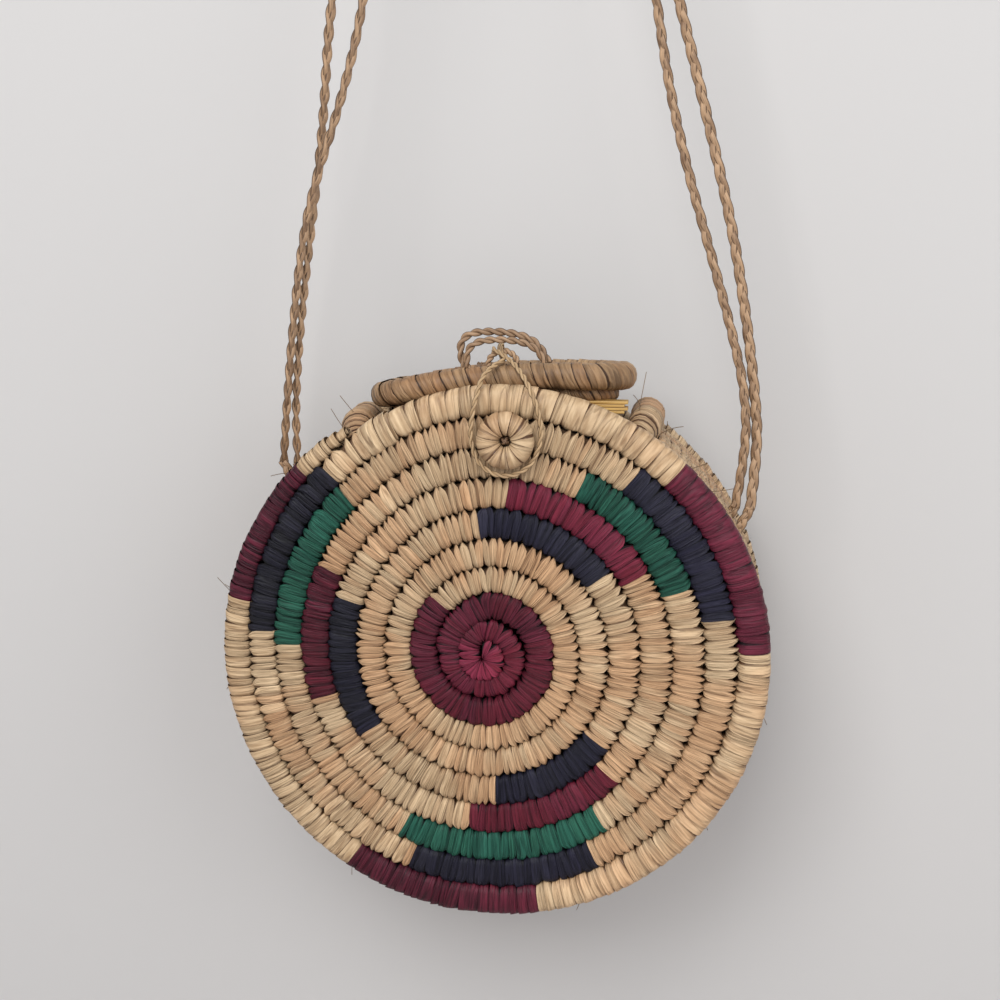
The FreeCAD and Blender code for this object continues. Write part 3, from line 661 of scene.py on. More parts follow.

# %% [markdown]
# ## Leaf finishes
# Dry palm leaf is satin, with fine fibres along each strip. Strips of one leaf are alike, and
# the next leaf may be greyer, yellower or pinker; at edges and in creases shade is painted darker.
# A painted picture would repeat itself, so the fibres are noise drawn out along each strip, and
# the tones come from the strips. Dyed leaf takes the same finish in other colours.

# %% Leaf finish
def leaf_finish(name, deep, pale, warm, crease_shade, shine):
    """Leaf between a deep and a pale colour, tinted by a warm one, with painted shade in its creases, folds
    and splits.
    """
    finish = Finish(name)
    tone, warmth, bare = finish.strip_values()
    place = finish.add("ShaderNodeTexCoord", {}, {}, "Object")
    fibre = finish.between(finish.streaks(4.2, 0.14, 4.0), 0.3, 0.7)
    vein = finish.between(finish.streaks(1.1, 0.05, 2.0), 0.35, 0.65)
    split = 1 - finish.between(finish.streaks(1.7, 0.025, 1.0), 0.34, 0.42)
    fold = finish.streaks(1.3, 0.03, 1.0) - 0.5
    fold = 1 - finish.between(fold * fold, 0.0, 0.0012)
    cloud = finish.between(finish.noise(place, 30.0, 2.0), 0.3, 0.7)
    colour = finish.mix(tone * 0.35 + fibre * 0.4 + vein * 0.25, deep, pale, clamp=False)
    tint = finish.between(warmth * 0.6 + cloud * 0.4, 0.3, 0.8) * 0.6
    colour = finish.mix(tint, colour, warm, "MULTIPLY")
    # Painted shade: dark just beside the raised edge of the strip that lies over this one, softer further
    # on.
    ragged = bare + fibre * 0.15
    shade = (1 - finish.between(ragged, 0.05, 0.5)) * 0.85 + (1 - finish.between(ragged, 0.0, 1.7)) * 0.4
    shade = shade * finish.between(ragged, -0.6, -0.2)
    # The leaf's folds and splits are real; their dark lines, like the creases, are painted shade.
    colour = finish.mix(shade + split * 0.35 + fold * 0.3, colour, crease_shade)
    bump = finish.bump(fibre * 0.6 + vein - split - fold * 0.6, 0.7, 0.4 * MM)
    return finish.set(Base_Color=colour, Roughness=fibre * 0.2 + 0.4, Normal=bump, Specular_IOR_Level=shine)


# The deep, pale and warm colours of each leaf, the dark colour of the shade painted in its creases, and its
# shine.
LEAF = {
    "natural": ((158, 125, 90), (240, 211, 170), (250, 216, 196), (84, 55, 33), 0.35),
    "maroon": ((30, 3, 14), (118, 38, 60), (255, 210, 200), (12, 1, 7), 0.28),
    "navy": ((4, 4, 8), (46, 45, 60), (220, 215, 255), (2, 2, 4), 0.25),
    "green": ((6, 36, 30), (56, 118, 96), (225, 245, 255), (2, 12, 10), 0.2),
    "lid": ((118, 90, 63), (190, 156, 117), (248, 218, 198), (60, 38, 22), 0.35),
}
leaf = {}
for name, (*colours, shine) in LEAF.items():
    leaf[name] = leaf_finish(f"{name}_leaf", *(srgb(*colour) for colour in colours), shine)
print("leaf finishes:", ", ".join(leaf))

# %% [markdown]
# ## Round panels
# Each panel is one coil that starts in the middle and tapers off at the upper left. Rings side
# by side would be simpler, but the colour blocks only step outwards on a true coil. The rows'
# edges are set turn by turn, and angles are counted clockwise from the top.

# %% The coil's edges
ROW_EDGES = (0.0, 7.6, 16.6, 27.3, 37.8, 49.2, 61.3, 73.5, 85.6, 97.6, 109.6, 109.6)
PANEL_PLANE = np.array((0, -27.0, 0))
RIM_START = 9 * 360
COIL_END = RIM_START + 329.0
COIL_TAPER = 7.0

# How far a row's edge has moved out towards the next row's, by clockwise angle. The inner
# rows drift out all along the left, the outer ones mostly at the upper left.
GROWTH_AT = (0, 90, 135, 180, 225, 270, 300, 320, 340, 360)
INNER_GROWTH = (0, -0.30, -0.24, 0.0, 0.25, 0.50, 0.68, 0.80, 0.92, 1)
OUTER_GROWTH = (0, -0.09, -0.12, -0.10, -0.03, 0.08, 0.25, 0.42, 0.75, 1)

# The start, about a middle that lies a little left: ring and half width by the angle turned.
MIDDLE = np.array((-3.7, 0, -0.6))
START_AT = (0, 200, 290, 360, 450, 540, 630, 675, 720)
START_RING = (4.2, 4.2, 5.4, 12.0, 12.4, 11.7, 12.9, 17.5, 22.0)
START_HALF = (4.2, 4.2, 4.3, 4.3, 3.9, 3.7, 4.2, 5.0, 5.35)
START_END = START_AT[-1]
MIDDLE_UNTIL = 630


def row_edge(turned):
    """Distance from the panel's centre to the inner edge of the coil."""
    turn, angle = divmod(turned, 360)
    turn = int(turn)
    share = min(1.0, ((turn - 1) / 8) ** 2)
    inner, outer = (np.interp(angle, GROWTH_AT, growth) for growth in (INNER_GROWTH, OUTER_GROWTH))
    growth = inner + share * (outer - inner)
    return ROW_EDGES[turn] + (ROW_EDGES[turn + 1] - ROW_EDGES[turn]) * growth


# %% The coil's line
def outwards(angle):
    """The way from the disc's centre at a clockwise angle from the top."""
    turn = math.radians(angle)
    return np.array((math.sin(turn), 0, math.cos(turn)))


def taper(turned, end_share):
    """A share that falls from 1 where the coil ends."""
    return np.interp(turned, (COIL_END - COIL_TAPER, COIL_END), (1, end_share))


def coil_points():
    """Points of the coil in the front panel, with the angle turned and the row's half width."""
    points, half_widths = [], []
    turned = np.concatenate((np.arange(0, START_END, 6.0), np.arange(START_END, COIL_END, 2.0)))
    for angle in turned:
        if angle < START_END:
            centre = MIDDLE * np.interp(angle, (MIDDLE_UNTIL, START_END), (1, 0))
            points.append(centre + outwards(angle) * np.interp(angle, START_AT, START_RING))
            half_widths.append(np.interp(angle, START_AT, START_HALF))
        else:
            inner, outer = row_edge(angle), row_edge(min(angle + 360, RIM_START + 360))
            points.append(outwards(angle) * (inner + outer) / 2)
            half_widths.append((outer - inner) / 2)
    half_widths = np.array(half_widths) * taper(turned, 0.3)
    return (np.array(points) + PANEL_PLANE) * MM + DISC, turned, half_widths * MM


coil_line_points, coil_turned, coil_half = coil_points()
coil_line = Line(coil_line_points, (0, -1, 0))
print(f"coil: {coil_line.length:.2f} m in {coil_turned[-1] / 360:.1f} turns")

# %% Where each colour runs
# Turn, first and last angle of each run, and how much lighter its strips are drawn: partly the
# leaf's own tone, partly painted sheen on the middle and the blocks at the top right, which face the light.
DYED = {
    "maroon": ((0, -9, 320, 3.0), (0, 320, 700, 0.7), (0, 700, 1038, 0.1), (6, 4.5, 57, 1.4),
               (9, 44, 85, 0.2), (6, 135, 188, 0.2), (9, 169.5, 214, -0.3), (6, 254.5, 298, -0.4),
               (9, 282, 314, -0.4)),
    "navy": ((5, -5, 51, 0.7), (8, 36, 78, 0.8), (5, 128, 177, 0), (8, 152, 200.5, 0), (5, 237, 291, 0),
             (8, 275, 318, -0.6)),
    "green": ((7, 25, 67, -0.4), (7, 145, 207, 0.2), (7, 273, 318, 0)),
}
# The back's runs lie this much earlier, so that plain leaf shows behind the right edge.
BACK_LEAD = 60.0


def leaf_colours(turned, lead):
    """The colour of each strip and how much lighter it is, by the angle that the coil has turned."""
    colours = np.full(len(turned), "natural", dtype=object)
    lighter = np.zeros(len(turned))
    for colour, runs in DYED.items():
        for turn, start, end, light in runs:
            before = turn * 360 - (lead if turn else 0)
            run = (turned >= before + start) & (turned < before + end)
            colours[run], lighter[run] = colour, light
    return colours, lighter


print("dyed runs:", {colour: len(runs) for colour, runs in DYED.items()})

# %% Where each strip lies
PITCH_AT = (0, 200, 360, 720, 1440, 1980, 2340, 2700, 3060, RIM_START - 60, RIM_START - 30, RIM_START + 45,
            RIM_START + 80, COIL_END)
PITCH = (1.15, 1.4, 2.0, 2.4, 2.7, 2.8, 2.8, 2.9, 3.1, 3.4, 5.6, 5.6, 4.0, 3.8)
PITCH_RANGE = (0.7, 1.3)
FIRST_STRIP = 0.2 * MM
LAST_STRIP = 1.5 * MM


def strip_places(random):
    """Where strips lie on the coil: fine in the middle, broad on the rim and broadest at its top."""
    places, steps = [], []
    reach = FIRST_STRIP
    while reach < coil_line.length - LAST_STRIP:
        turned = np.interp(reach, coil_line.reach, coil_turned)
        step = np.interp(turned, PITCH_AT, PITCH) * MM * random.uniform(*PITCH_RANGE)
        places.append(reach + step / 2)
        steps.append(step)
        reach += step
    return np.array(places), np.array(steps)


# %% Panel tones and depth
BROAD_LEAF_FROM = RIM_START - 30
DEEP_ROWS_FROM = 3000
# Clockwise angles of the right side, whose strips are drawn paler as painted light.
PAINTED_LIGHT_SIDE = (60, 190)


def strip_tones(random, turned, lighter):
    """Light and warmth of a panel's strips: the rim's are more alike, and the right side is drawn paler, as
    painted light.
    """
    tone = tones(random, len(turned))
    rim = turned > BROAD_LEAF_FROM
    tone[rim] = tone[rim] * (0.4, 0.3) + (0.22, 0.0)
    # Each dyed run's own lightness, in part painted sheen.
    tone[:, 0] += lighter
    # Painted light: the strips on the right side are drawn paler and warmer, as if lit from there.
    tone[(turned % 360 > PAINTED_LIGHT_SIDE[0]) & (turned % 360 < PAINTED_LIGHT_SIDE[1])] += (0.25, 0.25)
    return tone


def row_deep(half, turned, least, end_share):
    """How far a row stands out from the panel's plane: the outer rows keep a least depth."""
    return np.maximum(half, least * MM * (turned > DEEP_ROWS_FROM)) * taper(turned, end_share)


# %% Panel leaf
SINGLE_OVER = 4.4 * MM
ROW_WIND = {"lap": 1.14, "arch": 0.1, "swell": 0.28, "tilt": 0.32, "lean": 0.25}
RIM_WIND = {"lap": 1.16, "arch": 0.08, "swell": 0.12, "tilt": 0.5, "lean": 0.4, "power": 2.7}


def panel_leaf(side, seed, lead, ways):
    """The wound leaf of one panel, one piece for each colour; strips broad enough lie singly."""
    random = np.random.default_rng(seed)
    places, steps = strip_places(random)
    middle, span = by_pairs(places, steps)
    broad = steps > SINGLE_OVER
    middle[broad], span[broad] = places[broad], steps[broad]
    turned = np.interp(places, coil_line.reach, coil_turned)
    half = np.interp(places, coil_line.reach, coil_half)
    deep = row_deep(half, turned, 4.6, 0.4)
    colours, lighter = leaf_colours(turned, lead)
    tone = strip_tones(random, turned, lighter)
    rim = turned > BROAD_LEAF_FROM

    def wind_some(bundle, some, form, less_wide, less_deep, manner):
        if some.any():
            wind(bundle, coil_line, form, places[some], steps[some], half[some] - less_wide * MM,
                 deep[some] - less_deep * MM, random, tone=tone[some],
                 pairs=(middle[some], span[some]), **manner)

    for colour in ("natural", "maroon", "navy", "green"):
        bundle = Bundle()
        chosen = colours == colour
        wind_some(bundle, chosen & ~rim, PETAL if colour == "natural" else TOOTH, 0.3, 0.6, ROW_WIND)
        wind_some(bundle, chosen & rim, BAND, 0.2, 0.4, RIM_WIND)
        bundle.points = [points * ways for points in bundle.points]
        bundle.piece(f"{side}_leaf_{colour}", "bag", leaf[colour], f"leaf_{colour}", f"{side}_wrap_{colour}")


# %% Panel beds and both panels
def panel_bed(side, lead, ways):
    """The coil under one panel's leaf, coloured as painted shade of the gaps: brown under plain leaf, black
    under dyed leaf.
    """
    def half(reach):
        return np.interp(reach, coil_line.reach, coil_half) - 0.7 * MM

    def deep(reach):
        return row_deep(half(reach), np.interp(reach, coil_line.reach, coil_turned), 3.8, 0.3)

    def shade(reach):
        colours, _ = leaf_colours(np.interp(reach, coil_line.reach, coil_turned), lead)
        return np.where(colours == "natural", 0.4, -1.0)

    under = Bundle()
    bed(under, coil_line, half, deep, shade, sides=10)
    under.points = [points * ways for points in under.points]
    under.piece(f"{side}_coil_bed_shade", "bag", bed_shade_finish, "core_fibre", f"{side}_core")


# The back panel is the front one turned half round.
PANELS = (("front", 11, 0, np.array((1, 1, 1))), ("back", 12, BACK_LEAD, np.array((-1, -1, 1))))
for side, seed, lead, ways in PANELS:
    panel_leaf(side, seed, lead, ways)
    panel_bed(side, lead, ways)

# %% [markdown]
# ## Gusset and mouth
# Six narrower rows go round between the panels and end at the mouth, where a roll of leaf
# across the bag binds each end. A broad leaf ties down the end of the panel's coil. One grooved
# band would do from the front, but the rows show beside the right edge, so they are wound too.

# %% Gusset rows
GUSSET_ROWS = 6
GUSSET_PITCH = 6.9
GUSSET_RING = 105.3
GUSSET_START = 36.4
GUSSET_END = 323.6
GUSSET_STEP = 1.5
GUSSET_HALF = 3.25 * MM

angles = np.radians(np.arange(GUSSET_START, GUSSET_END + GUSSET_STEP / 2, GUSSET_STEP))
outward = np.stack((np.sin(angles), 0 * angles, np.cos(angles)), axis=1)
gusset = Bundle()
gusset_under = Bundle()
random = np.random.default_rng(21)
for row in range(GUSSET_ROWS):
    offset = (row - (GUSSET_ROWS - 1) / 2) * GUSSET_PITCH
    line = Line((outward * GUSSET_RING + (0, offset, 0)) * MM + DISC, outward)
    places, steps = spaced(line.length, 2.7 * MM, random)
    half = np.full(len(places), GUSSET_HALF)
    wind(gusset, line, PETAL, places, steps, half, half - 0.3 * MM, random, lap=1.12,
         pairs=by_pairs(places, steps), tilt=0.25)
    bed(gusset_under, line, even(2.85))
gusset.piece("gusset_leaf", "bag", leaf["natural"], "leaf_natural", "gusset_coil")
gusset_under.piece("gusset_bed", "bag", bed_shade_finish, "core_fibre", "gusset_core")

# %% Mouth rolls
# Places along a roll from front to back, its radius there and how far it dips there.
ROLL_AT = (0, 1.0, 3.0, 7.0, 14.0, 34.0, 38.5, 40.2, 41.2)
ROLL_RADIUS = (1.2, 2.8, 4.4, 5.6, 6.1, 6.1, 4.9, 3.2, 1.6)
ROLL_DROP = (6.5, 5.6, 4.2, 2.2, 0.4, 0.0, 0.0, 0.0, 0.0)
ROLL_LENGTH = ROLL_AT[-1]


def wind_all(bundle, line, form, pitch, size, random, jitter=0.12, **manner):
    """Winds strips a pitch apart round a whole row; size gives its radius along it."""
    places, steps = spaced(line.length, pitch * MM, random, jitter)
    wind(bundle, line, form, places, steps, size(places), size(places), random, **manner)


def mouth_roll(side, angle, ring, seed):
    """A roll across the bag, wound with leaf, that rises from behind the front rim."""
    random = np.random.default_rng(seed)
    depth = np.linspace(0, ROLL_LENGTH, 60)
    middle = np.outer(ring - np.interp(depth, ROLL_AT, ROLL_DROP), outwards(angle))
    line = Line((middle + np.outer(depth - ROLL_LENGTH / 2, (0, 1, 0))) * MM + DISC, outwards(angle))

    def radius(reach):
        return np.interp(reach / line.length * ROLL_LENGTH, ROLL_AT, ROLL_RADIUS) * MM

    bundle = Bundle()
    wind_all(bundle, line, CUFF, 2.4, radius, random, lap=1.3, power=2.1, tilt=0.7, lean=0.6)
    bed(bundle, line, lambda reach: radius(reach) - 0.3 * MM, power=2.1)
    bundle.piece(f"mouth_roll_{side}_leaf", "bag", leaf["natural"], "leaf_natural", f"mouth_roll_{side}")


mouth_roll("left", -32.5, 106.5, 31)
mouth_roll("right", 32.5, 110.5, 32)

# %% Rim binding
BINDING_HALF = 6.5
BINDING_ANGLES = np.arange(330.0, 337.5, 0.5)
binding_points = []
for angle in BINDING_ANGLES:
    ring = (row_edge(RIM_START - 360 + angle) + row_edge(RIM_START + angle)) / 2
    binding_points.append((outwards(angle) * ring + PANEL_PLANE) * MM + DISC)
binding_line = Line(binding_points, (0, -1, 0))
random = np.random.default_rng(33)
binding = Bundle()
wind_all(binding, binding_line, BAND, 6.2, even(BINDING_HALF), random, 0.03, lap=1.3, power=2.7, lean=0.6)
binding.piece("rim_binding_leaf", "bag", leaf["natural"], "leaf_natural", "rim_binding_left")

# %% [markdown]
# ## Button
# A ring of leaf, wound with a dozen broad strips, stands on the front, and a stitch through its
# hole holds it. A torus could carry painted strips, but their creases are deep enough to see,
# so the ring is wound like a row.

# %% Button ring
BUTTON = np.array((6.2, -37.65, 89.2)) * MM + DISC
BUTTON_RING = 6.7 * MM
BUTTON_TUBE = 4.0
angles = np.linspace(0, 2 * math.pi, 97)
ring_out = np.stack((np.sin(angles), 0 * angles, np.cos(angles)), axis=1)
ring_line = Line(BUTTON + ring_out * BUTTON_RING, (0, -1, 0), closed=True)
random = np.random.default_rng(41)
button = Bundle()
wind_all(button, ring_line, CUFF, 3.5, even(BUTTON_TUBE), random, 0.25, lap=1.75, tone_share=0.4,
         power=2.0, tilt=0.6, sway=0.4)
bed(button, ring_line, even(BUTTON_TUBE - 0.1), power=2.0)
button.piece("button_leaf", "bag", leaf["natural"], "leaf_natural", "button_ring")

# %% Button stitch
STITCH_HALF = 1.5
stitch = Bundle()
for lean in (-0.6, 0.9):
    reach = np.linspace(-1, 1, 9)
    aside = STITCH_HALF * reach
    points = np.stack((aside * math.cos(lean), -1.6 + 2.6 * reach ** 2, aside * math.sin(lean)), axis=1)
    twist(stitch, Line(BUTTON + points * MM, (0.01, -1, 0.02)), 0.75 * MM, 3.0 * MM, (0.1, 0.3))
stitch.piece("button_stitch", "bag", cord_finish, "cord", "button_tie")

# %% [markdown]
# ## Lid
# The lid is a small oval mat: a bar, an inner row and a rim row side by side, and a lower row
# that sits in the mouth. It bows a little and lies askew, its right end higher. Each row is laid
# out flat and then bowed, tipped and turned, so that the rows stay together.

# %% From the flat lid to the bag
LID_PLACE = np.array((2.9, 0.0, 110.4)) * MM + DISC
LID_ASIDE = np.array((-2.2, 0.0, -0.9)) * MM
LID_SKEW = math.radians(5.2)
LID_TIP = math.radians(4.0)
LID_BOW = 300.0
LID_UP = (-math.sin(LID_SKEW), 0, math.cos(LID_SKEW))


def lid_point(along, across, up):
    """A point on the bowed lid in millimetres: along it, across it and up from its rows."""
    turn = along / LID_BOW
    return np.array(((LID_BOW + up) * math.sin(turn), across, (LID_BOW + up) * math.cos(turn) - LID_BOW))


def lid_to_bag(points):
    """From the lid's own millimetres to the bag's frame: tipped a little back, then askew."""
    along, across, up = np.moveaxis(np.asarray(points, dtype=float), -1, 0)
    across, up = (across * math.cos(LID_TIP) + up * math.sin(LID_TIP),
                  up * math.cos(LID_TIP) - across * math.sin(LID_TIP))
    along, up = (along * math.cos(LID_SKEW) - up * math.sin(LID_SKEW),
                 along * math.sin(LID_SKEW) + up * math.cos(LID_SKEW))
    return np.stack((along, across, up), axis=-1) * MM + LID_PLACE


# %% Lid rows
LID_RUN = 31.0
LID_STEP = 1.5
BAR_PAST = 2.5


def lid_loop(offset, up):
    """The closed line of one lid row."""
    points = []
    for end in (1, -1):
        for along in end * np.arange(-LID_RUN, LID_RUN, LID_STEP):
            points.append(lid_point(along, -end * offset, up))
        tip = lid_point(end * LID_RUN, 0, up)
        way = np.array((math.cos(LID_RUN / LID_BOW), 0, -end * math.sin(LID_RUN / LID_BOW))) * end
        for turn in np.radians(np.arange(0, 180, 6)):
            aside = np.array((0, -end * offset * math.cos(turn), 0))
            points.append(tip + way * offset * math.sin(turn) + aside)
    points.append(points[0])
    return Line(lid_to_bag(points) + LID_ASIDE, LID_UP, closed=True)


def lid_bar():
    """The straight line of the bar in the middle."""
    end = LID_RUN + BAR_PAST
    points = [lid_point(along, 0, 0) for along in np.arange(-end, end, LID_STEP)]
    return Line(lid_to_bag(points) + LID_ASIDE, LID_UP)


def lid_row(name, line, tube, pitch, seed, *nodes):
    """One wound row of the lid."""
    random = np.random.default_rng(seed)
    bundle = Bundle()
    wind_all(bundle, line, CUFF, pitch, even(tube - 0.2), random, 0.15, lap=1.45, power=2.2, tilt=0.6,
             slope=-2.0)
    bed(bundle, line, even(tube - 0.5))
    bundle.piece(name, "lid", leaf["lid"], "leaf_lid", *nodes)


lid_row("lid_rim_leaf", lid_loop(17.9, 0), 5.0, 5.0, 51, "lid_rim_coil", "lid_core")
lid_row("lid_inner_leaf", lid_loop(8.35, 0), 4.25, 4.2, 52, "lid_inner_coil")
lid_row("lid_plug_leaf", lid_loop(13.2, -6.8), 2.9, 3.6, 53, "lid_plug_coil")
lid_row("lid_middle_leaf", lid_bar(), 3.7, 4.2, 54, "lid_middle_coil")

# %% [markdown]
# ## Bare strips under the lid
# At the right the lid's foundation shows: flat golden strips, cut square, one on another. A box
# with painted lines would show no gaps, so each is a thin block of its own with bevelled edges.

# %% Bare strip finish
def strip_finish():
    """Split cane: golden, with a straight grain along it."""
    finish = Finish("bare_strip")
    place = finish.add("ShaderNodeTexCoord", {}, {}, "Object")
    grain = finish.noise(finish.stretch(place, (60.0, 2600.0, 2600.0)), 1.0, 4.0)
    colour = finish.mix(finish.between(grain, 0.3, 0.72), srgb(150, 104, 44), srgb(228, 190, 116))
    return finish.set(Base_Color=colour, Roughness=0.42, Normal=finish.bump(grain, 0.3, 0.2 * MM))


# %% Foundation strips
SLATS = 4
SLAT_LENGTH = 40.0 * MM
SLAT_WIDTH = 6.0 * MM
SLAT_GAP = 0.08 * MM
SLAT_SHIFT = 1.4 * MM
SLAT_BEVEL = 0.16 * MM
low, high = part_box("lid_core_strips")
slat_thick = (high[2] - low[2] - (SLATS - 1) * SLAT_GAP) / SLATS
slats = []
for number in range(SLATS):
    x = (low[0] + high[0]) / 2 + SLAT_SHIFT * (0.5 - number % 2)
    z = high[2] - (number + 0.5) * slat_thick - number * SLAT_GAP
    bpy.ops.object.select_all(action="DESELECT")
    bpy.ops.mesh.primitive_cube_add(size=1, location=(x, (low[1] + high[1]) / 2, z))
    slat = bpy.context.object
    slat.scale = (SLAT_LENGTH, SLAT_WIDTH, slat_thick)
    bpy.ops.object.transform_apply(location=True, rotation=True, scale=True)
    bpy.ops.object.mode_set(mode="EDIT")
    bpy.ops.mesh.select_all(action="SELECT")
    bpy.ops.mesh.bevel(offset=SLAT_BEVEL, segments=2, affect="EDGES")
    bpy.ops.object.mode_set(mode="OBJECT")
    slats.append(slat)
for slat in slats:
    slat.select_set(True)
bpy.context.view_layer.objects.active = slats[0]
bpy.ops.object.join()
bare_strips = bpy.context.object
bare_strips.name = "lid_bare_strips"
bare_strips.data.materials.append(strip_finish())
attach(bare_strips, "lid")
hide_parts("lid_core_strips")
print(f"{bare_strips.name}: {SLATS} strips, each {slat_thick / MM:.2f} mm thick")

# %% [markdown]
# ## Pull handle, keeper and closing loop
# Two twisted cords arch over the lid as a handle. A small cord arch keeps the closing loop, a
# thin two-strand cord that crosses itself and runs down both sides of the button. Bevelled
# curves would be smooth as wire, so each is twisted from two strands.

# %% Twisted cords on the lid
# Places along the lid and up from it that each cord's smooth line follows.
PULL_OUTER = ((-16.6, 3.2), (-18.8, 10.5), (-15.5, 17.6), (-4.0, 17.8), (8.0, 15.2), (15.0, 10.0),
              (17.2, 3.2))
PULL_INNER = ((-15.0, 3.2), (-15.8, 8.6), (-12.0, 14.0), (-2.0, 14.4), (8.5, 12.4), (14.4, 8.2),
              (16.0, 3.2))
KEEPER_HALF = 6.0
KEEPER_FOOT = 2.6
KEEPER_SPRING = 3.87


def lid_cord(name, body, route, across, radius, period, shade, node):
    """A twisted cord that stands on the lid along a smooth line."""
    points = smooth_route(name + "_line", lid_to_bag([(along, across, up) for along, up in route]))
    bundle = Bundle()
    twist(bundle, Line(points, (0, -1, 0)), radius * MM, period * MM, shade)
    bundle.piece(name, body, cord_finish, "cord", node)


lid_cord("pull_outer", "pull", PULL_OUTER, -2.9, 1.6, 9.5, (0.35, 0.5), "pull_cord_outer")
lid_cord("pull_inner", "pull", PULL_INNER, -6.0, 1.5, 9.0, (0.4, 0.45), "pull_cord_inner")
keeper_route = [(-KEEPER_HALF, KEEPER_FOOT), (KEEPER_HALF, KEEPER_FOOT)]
keeper_route[1:1] = [(-KEEPER_HALF * math.cos(turn), KEEPER_SPRING + KEEPER_HALF * math.sin(turn))
                     for turn in np.linspace(0, math.pi, 9)]
lid_cord("keeper", "lid", keeper_route, -12.67, 1.3, 5.0, (0.55, 0.5), "loop_keeper")

# %% Closing loop
# Points from one end to the other, in millimetres.
LOOP = (
    (1.5, -14.0, -277.6), (5.2, -18.0, -280.3), (0.9, -22.5, -281.7), (-3.4, -30.0, -285.5),
    (-5.0, -36.4, -292.6), (-6.9, -36.8, -301.0), (-7.4, -36.8, -309.8), (-4.8, -36.8, -318.2),
    (1.6, -36.8, -323.1), (9.7, -36.8, -323.3), (16.6, -36.8, -318.4), (19.9, -36.8, -310.0),
    (19.8, -36.8, -301.9), (17.0, -36.4, -293.0), (12.4, -30.0, -285.5), (7.1, -22.5, -280.6),
    (1.8, -16.5, -278.2), (-1.4, -13.5, -276.8),
)
LOOP_EYE = np.array((1.869, -12.674, -277.689)) * MM


def helix(centre, axis, first, second, ring, rise, turns, count):
    """Points in metres that wind about an axis; ring and rise, end to end, are in millimetres."""
    angle = np.linspace(0, 2 * math.pi * turns, count)
    along = np.outer(np.linspace(-rise / 2, rise / 2, count), axis)
    return centre + (along + ring * (np.outer(np.cos(angle), first) + np.outer(np.sin(angle), second))) * MM


raffia = fibre_finish("raffia", srgb(120, 90, 60), srgb(206, 174, 132), 0.55)
loop = Bundle()
loop_line = Line(smooth_route("loop_line", np.array(LOOP) * MM), (0.3, -1, 0.2))
twist(loop, loop_line, 1.05 * MM, 8.0 * MM, (0.5, 0.5))
eye_points = helix(LOOP_EYE, (1, 0, 0), (0, -1, 0), (0, 0, 1), 2.4, 1.4, 1.9, 60)
twist(loop, Line(eye_points, (1, 0, 0.1)), 0.8 * MM, 6.0 * MM, (0.5, 0.5))
loop.piece("closing_loop_raffia", "loop", raffia, "loop_raffia", "closing_loop")

# %% [markdown]
# ## Ties inside and behind
# Two wound ties join the lid to the back rim, and each strap cord ends in a knot inside. They
# hardly show, and true knots would take many more points, so a few turns of twisted cord stand
# for each.

# %% Lashings
TIE_ACROSS = 9.0
TIE_PLACE = (25.364, 110.7)
ties = Bundle()
for across in (-TIE_ACROSS, TIE_ACROSS):
    centre = np.array((across, *TIE_PLACE)) * MM + DISC
    coil = helix(centre, (1, 0, 0), (0, 1, 0), (0, 0, 1), 1.2, 7.2, 6, 150)
    twist(ties, Line(coil, (1, 0.05, 0.05)), 0.68 * MM, 4.0 * MM, (0.5, 0.4))
ties.piece("lid_ties", "bag", cord_finish, "cord", "lid_lashings")

# %% Strap ends and knots
KNOT_RING = 87.95
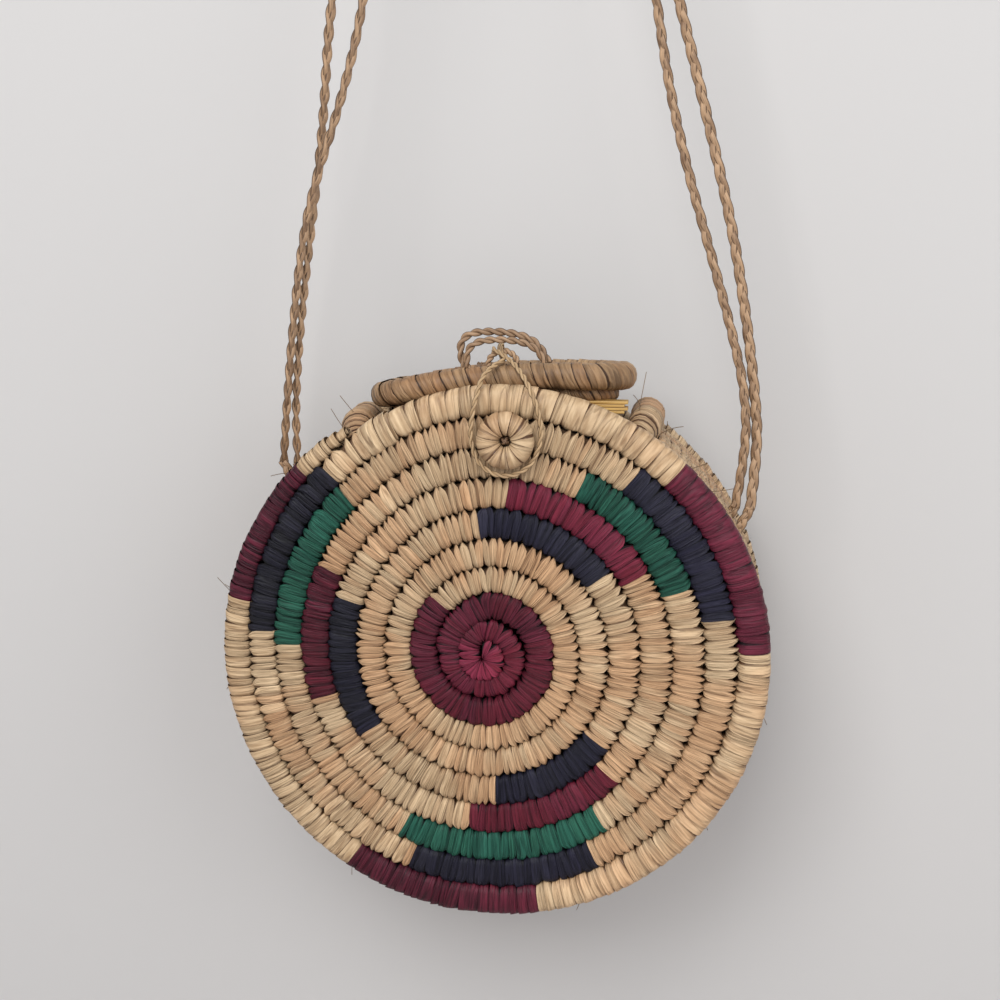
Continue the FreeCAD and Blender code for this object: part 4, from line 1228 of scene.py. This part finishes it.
# For each cord the place, across and up, where it goes into the gusset, and its knot's angle.
STRAP_ENDS = {
    "left": (((-84.558, 72.219), -53.4), ((-90.538, 72.705), -60.6)),
    "right": (((95.117, 57.605), 65.8), ((101.097, 57.119), 73.7)),
}
for side, ends in STRAP_ENDS.items():
    knots = Bundle()
    for (x, z), angle in ends:
        top = np.array((x, 0, z)) * MM + DISC
        knot = outwards(angle) * KNOT_RING * MM + DISC
        way = unit(knot - top)
        stem = np.linspace(top - way * 0.6 * MM, knot + way * 3.5 * MM, 24)
        plait(knots, Line(stem, (0, -1, 0)), 4.2 * MM, 14.0 * MM, 0.0, (0.45, 0.4))
        wraps = helix(knot, way, np.cross(way, (0, 1, 0)), (0, 1, 0), 2.7, 3.2, 1.8, 60)
        twist(knots, Line(wraps, way), 1.7 * MM, 7.0 * MM, (0.45, 0.4))
    knots.piece(f"strap_knots_{side}_cord", "bag", cord_finish, "cord", f"strap_knots_{side}")

# %% [markdown]
# ## Stray fibres
# A handmade bag is never quite clean: fine fibres stand out from the rim and the rolls. A hair
# system would scatter them evenly, so each is placed one by one: a hair of leaf on a short bent
# line, with its root inside the coil.

# %% Stray fibres
STRAY_ROOT = 107.0
STRAY_RADIUS = 0.13 * MM
# Clockwise angle, distance along Y and length of each, in degrees and millimetres.
STRAYS = (
    (31.0, -12, 15), (32.5, -6, 13), (33.5, -14, 11), (34.5, 0, 10), (36.0, -8, 9), (38.0, 4, 7),
    (44.0, -24, 6), (51.0, -18, 7), (58.0, -12, 5), (283.0, -27, 9), (281.0, -25, 6), (262.0, -28, 5),
    (240.0, -26, 4), (213.0, -27, 5), (196.0, -26, 4), (160.0, -27, 4), (128.0, -27, 4), (100.0, -24, 5),
    (312.0, -22, 6), (326.0, -18, 7), (329.0, -10, 8),
)

random = np.random.default_rng(71)
strays = Bundle()
for angle, across, length in STRAYS:
    out = outwards(angle)
    way = out + np.array((out[2], 0, -out[0])) * random.uniform(-0.8, 0.8)
    bend = random.uniform(-0.35, 0.35, 3)
    root = out * STRAY_ROOT + np.array((0, across, 0))
    hair = [root + (way * share + bend * share ** 2) * length for share in np.linspace(0, 1.2, 9)]
    strand(strays, Line(np.array(hair) * MM + DISC, (0, -1, 0.1)), lambda reach: (0 * reach, 0 * reach),
           STRAY_RADIUS, STRAY_RADIUS, (0.5, 0.5), step=1.0 * MM, sides=4)
strays.piece("stray_fibres", "bag", leaf["natural"], "leaf_natural")
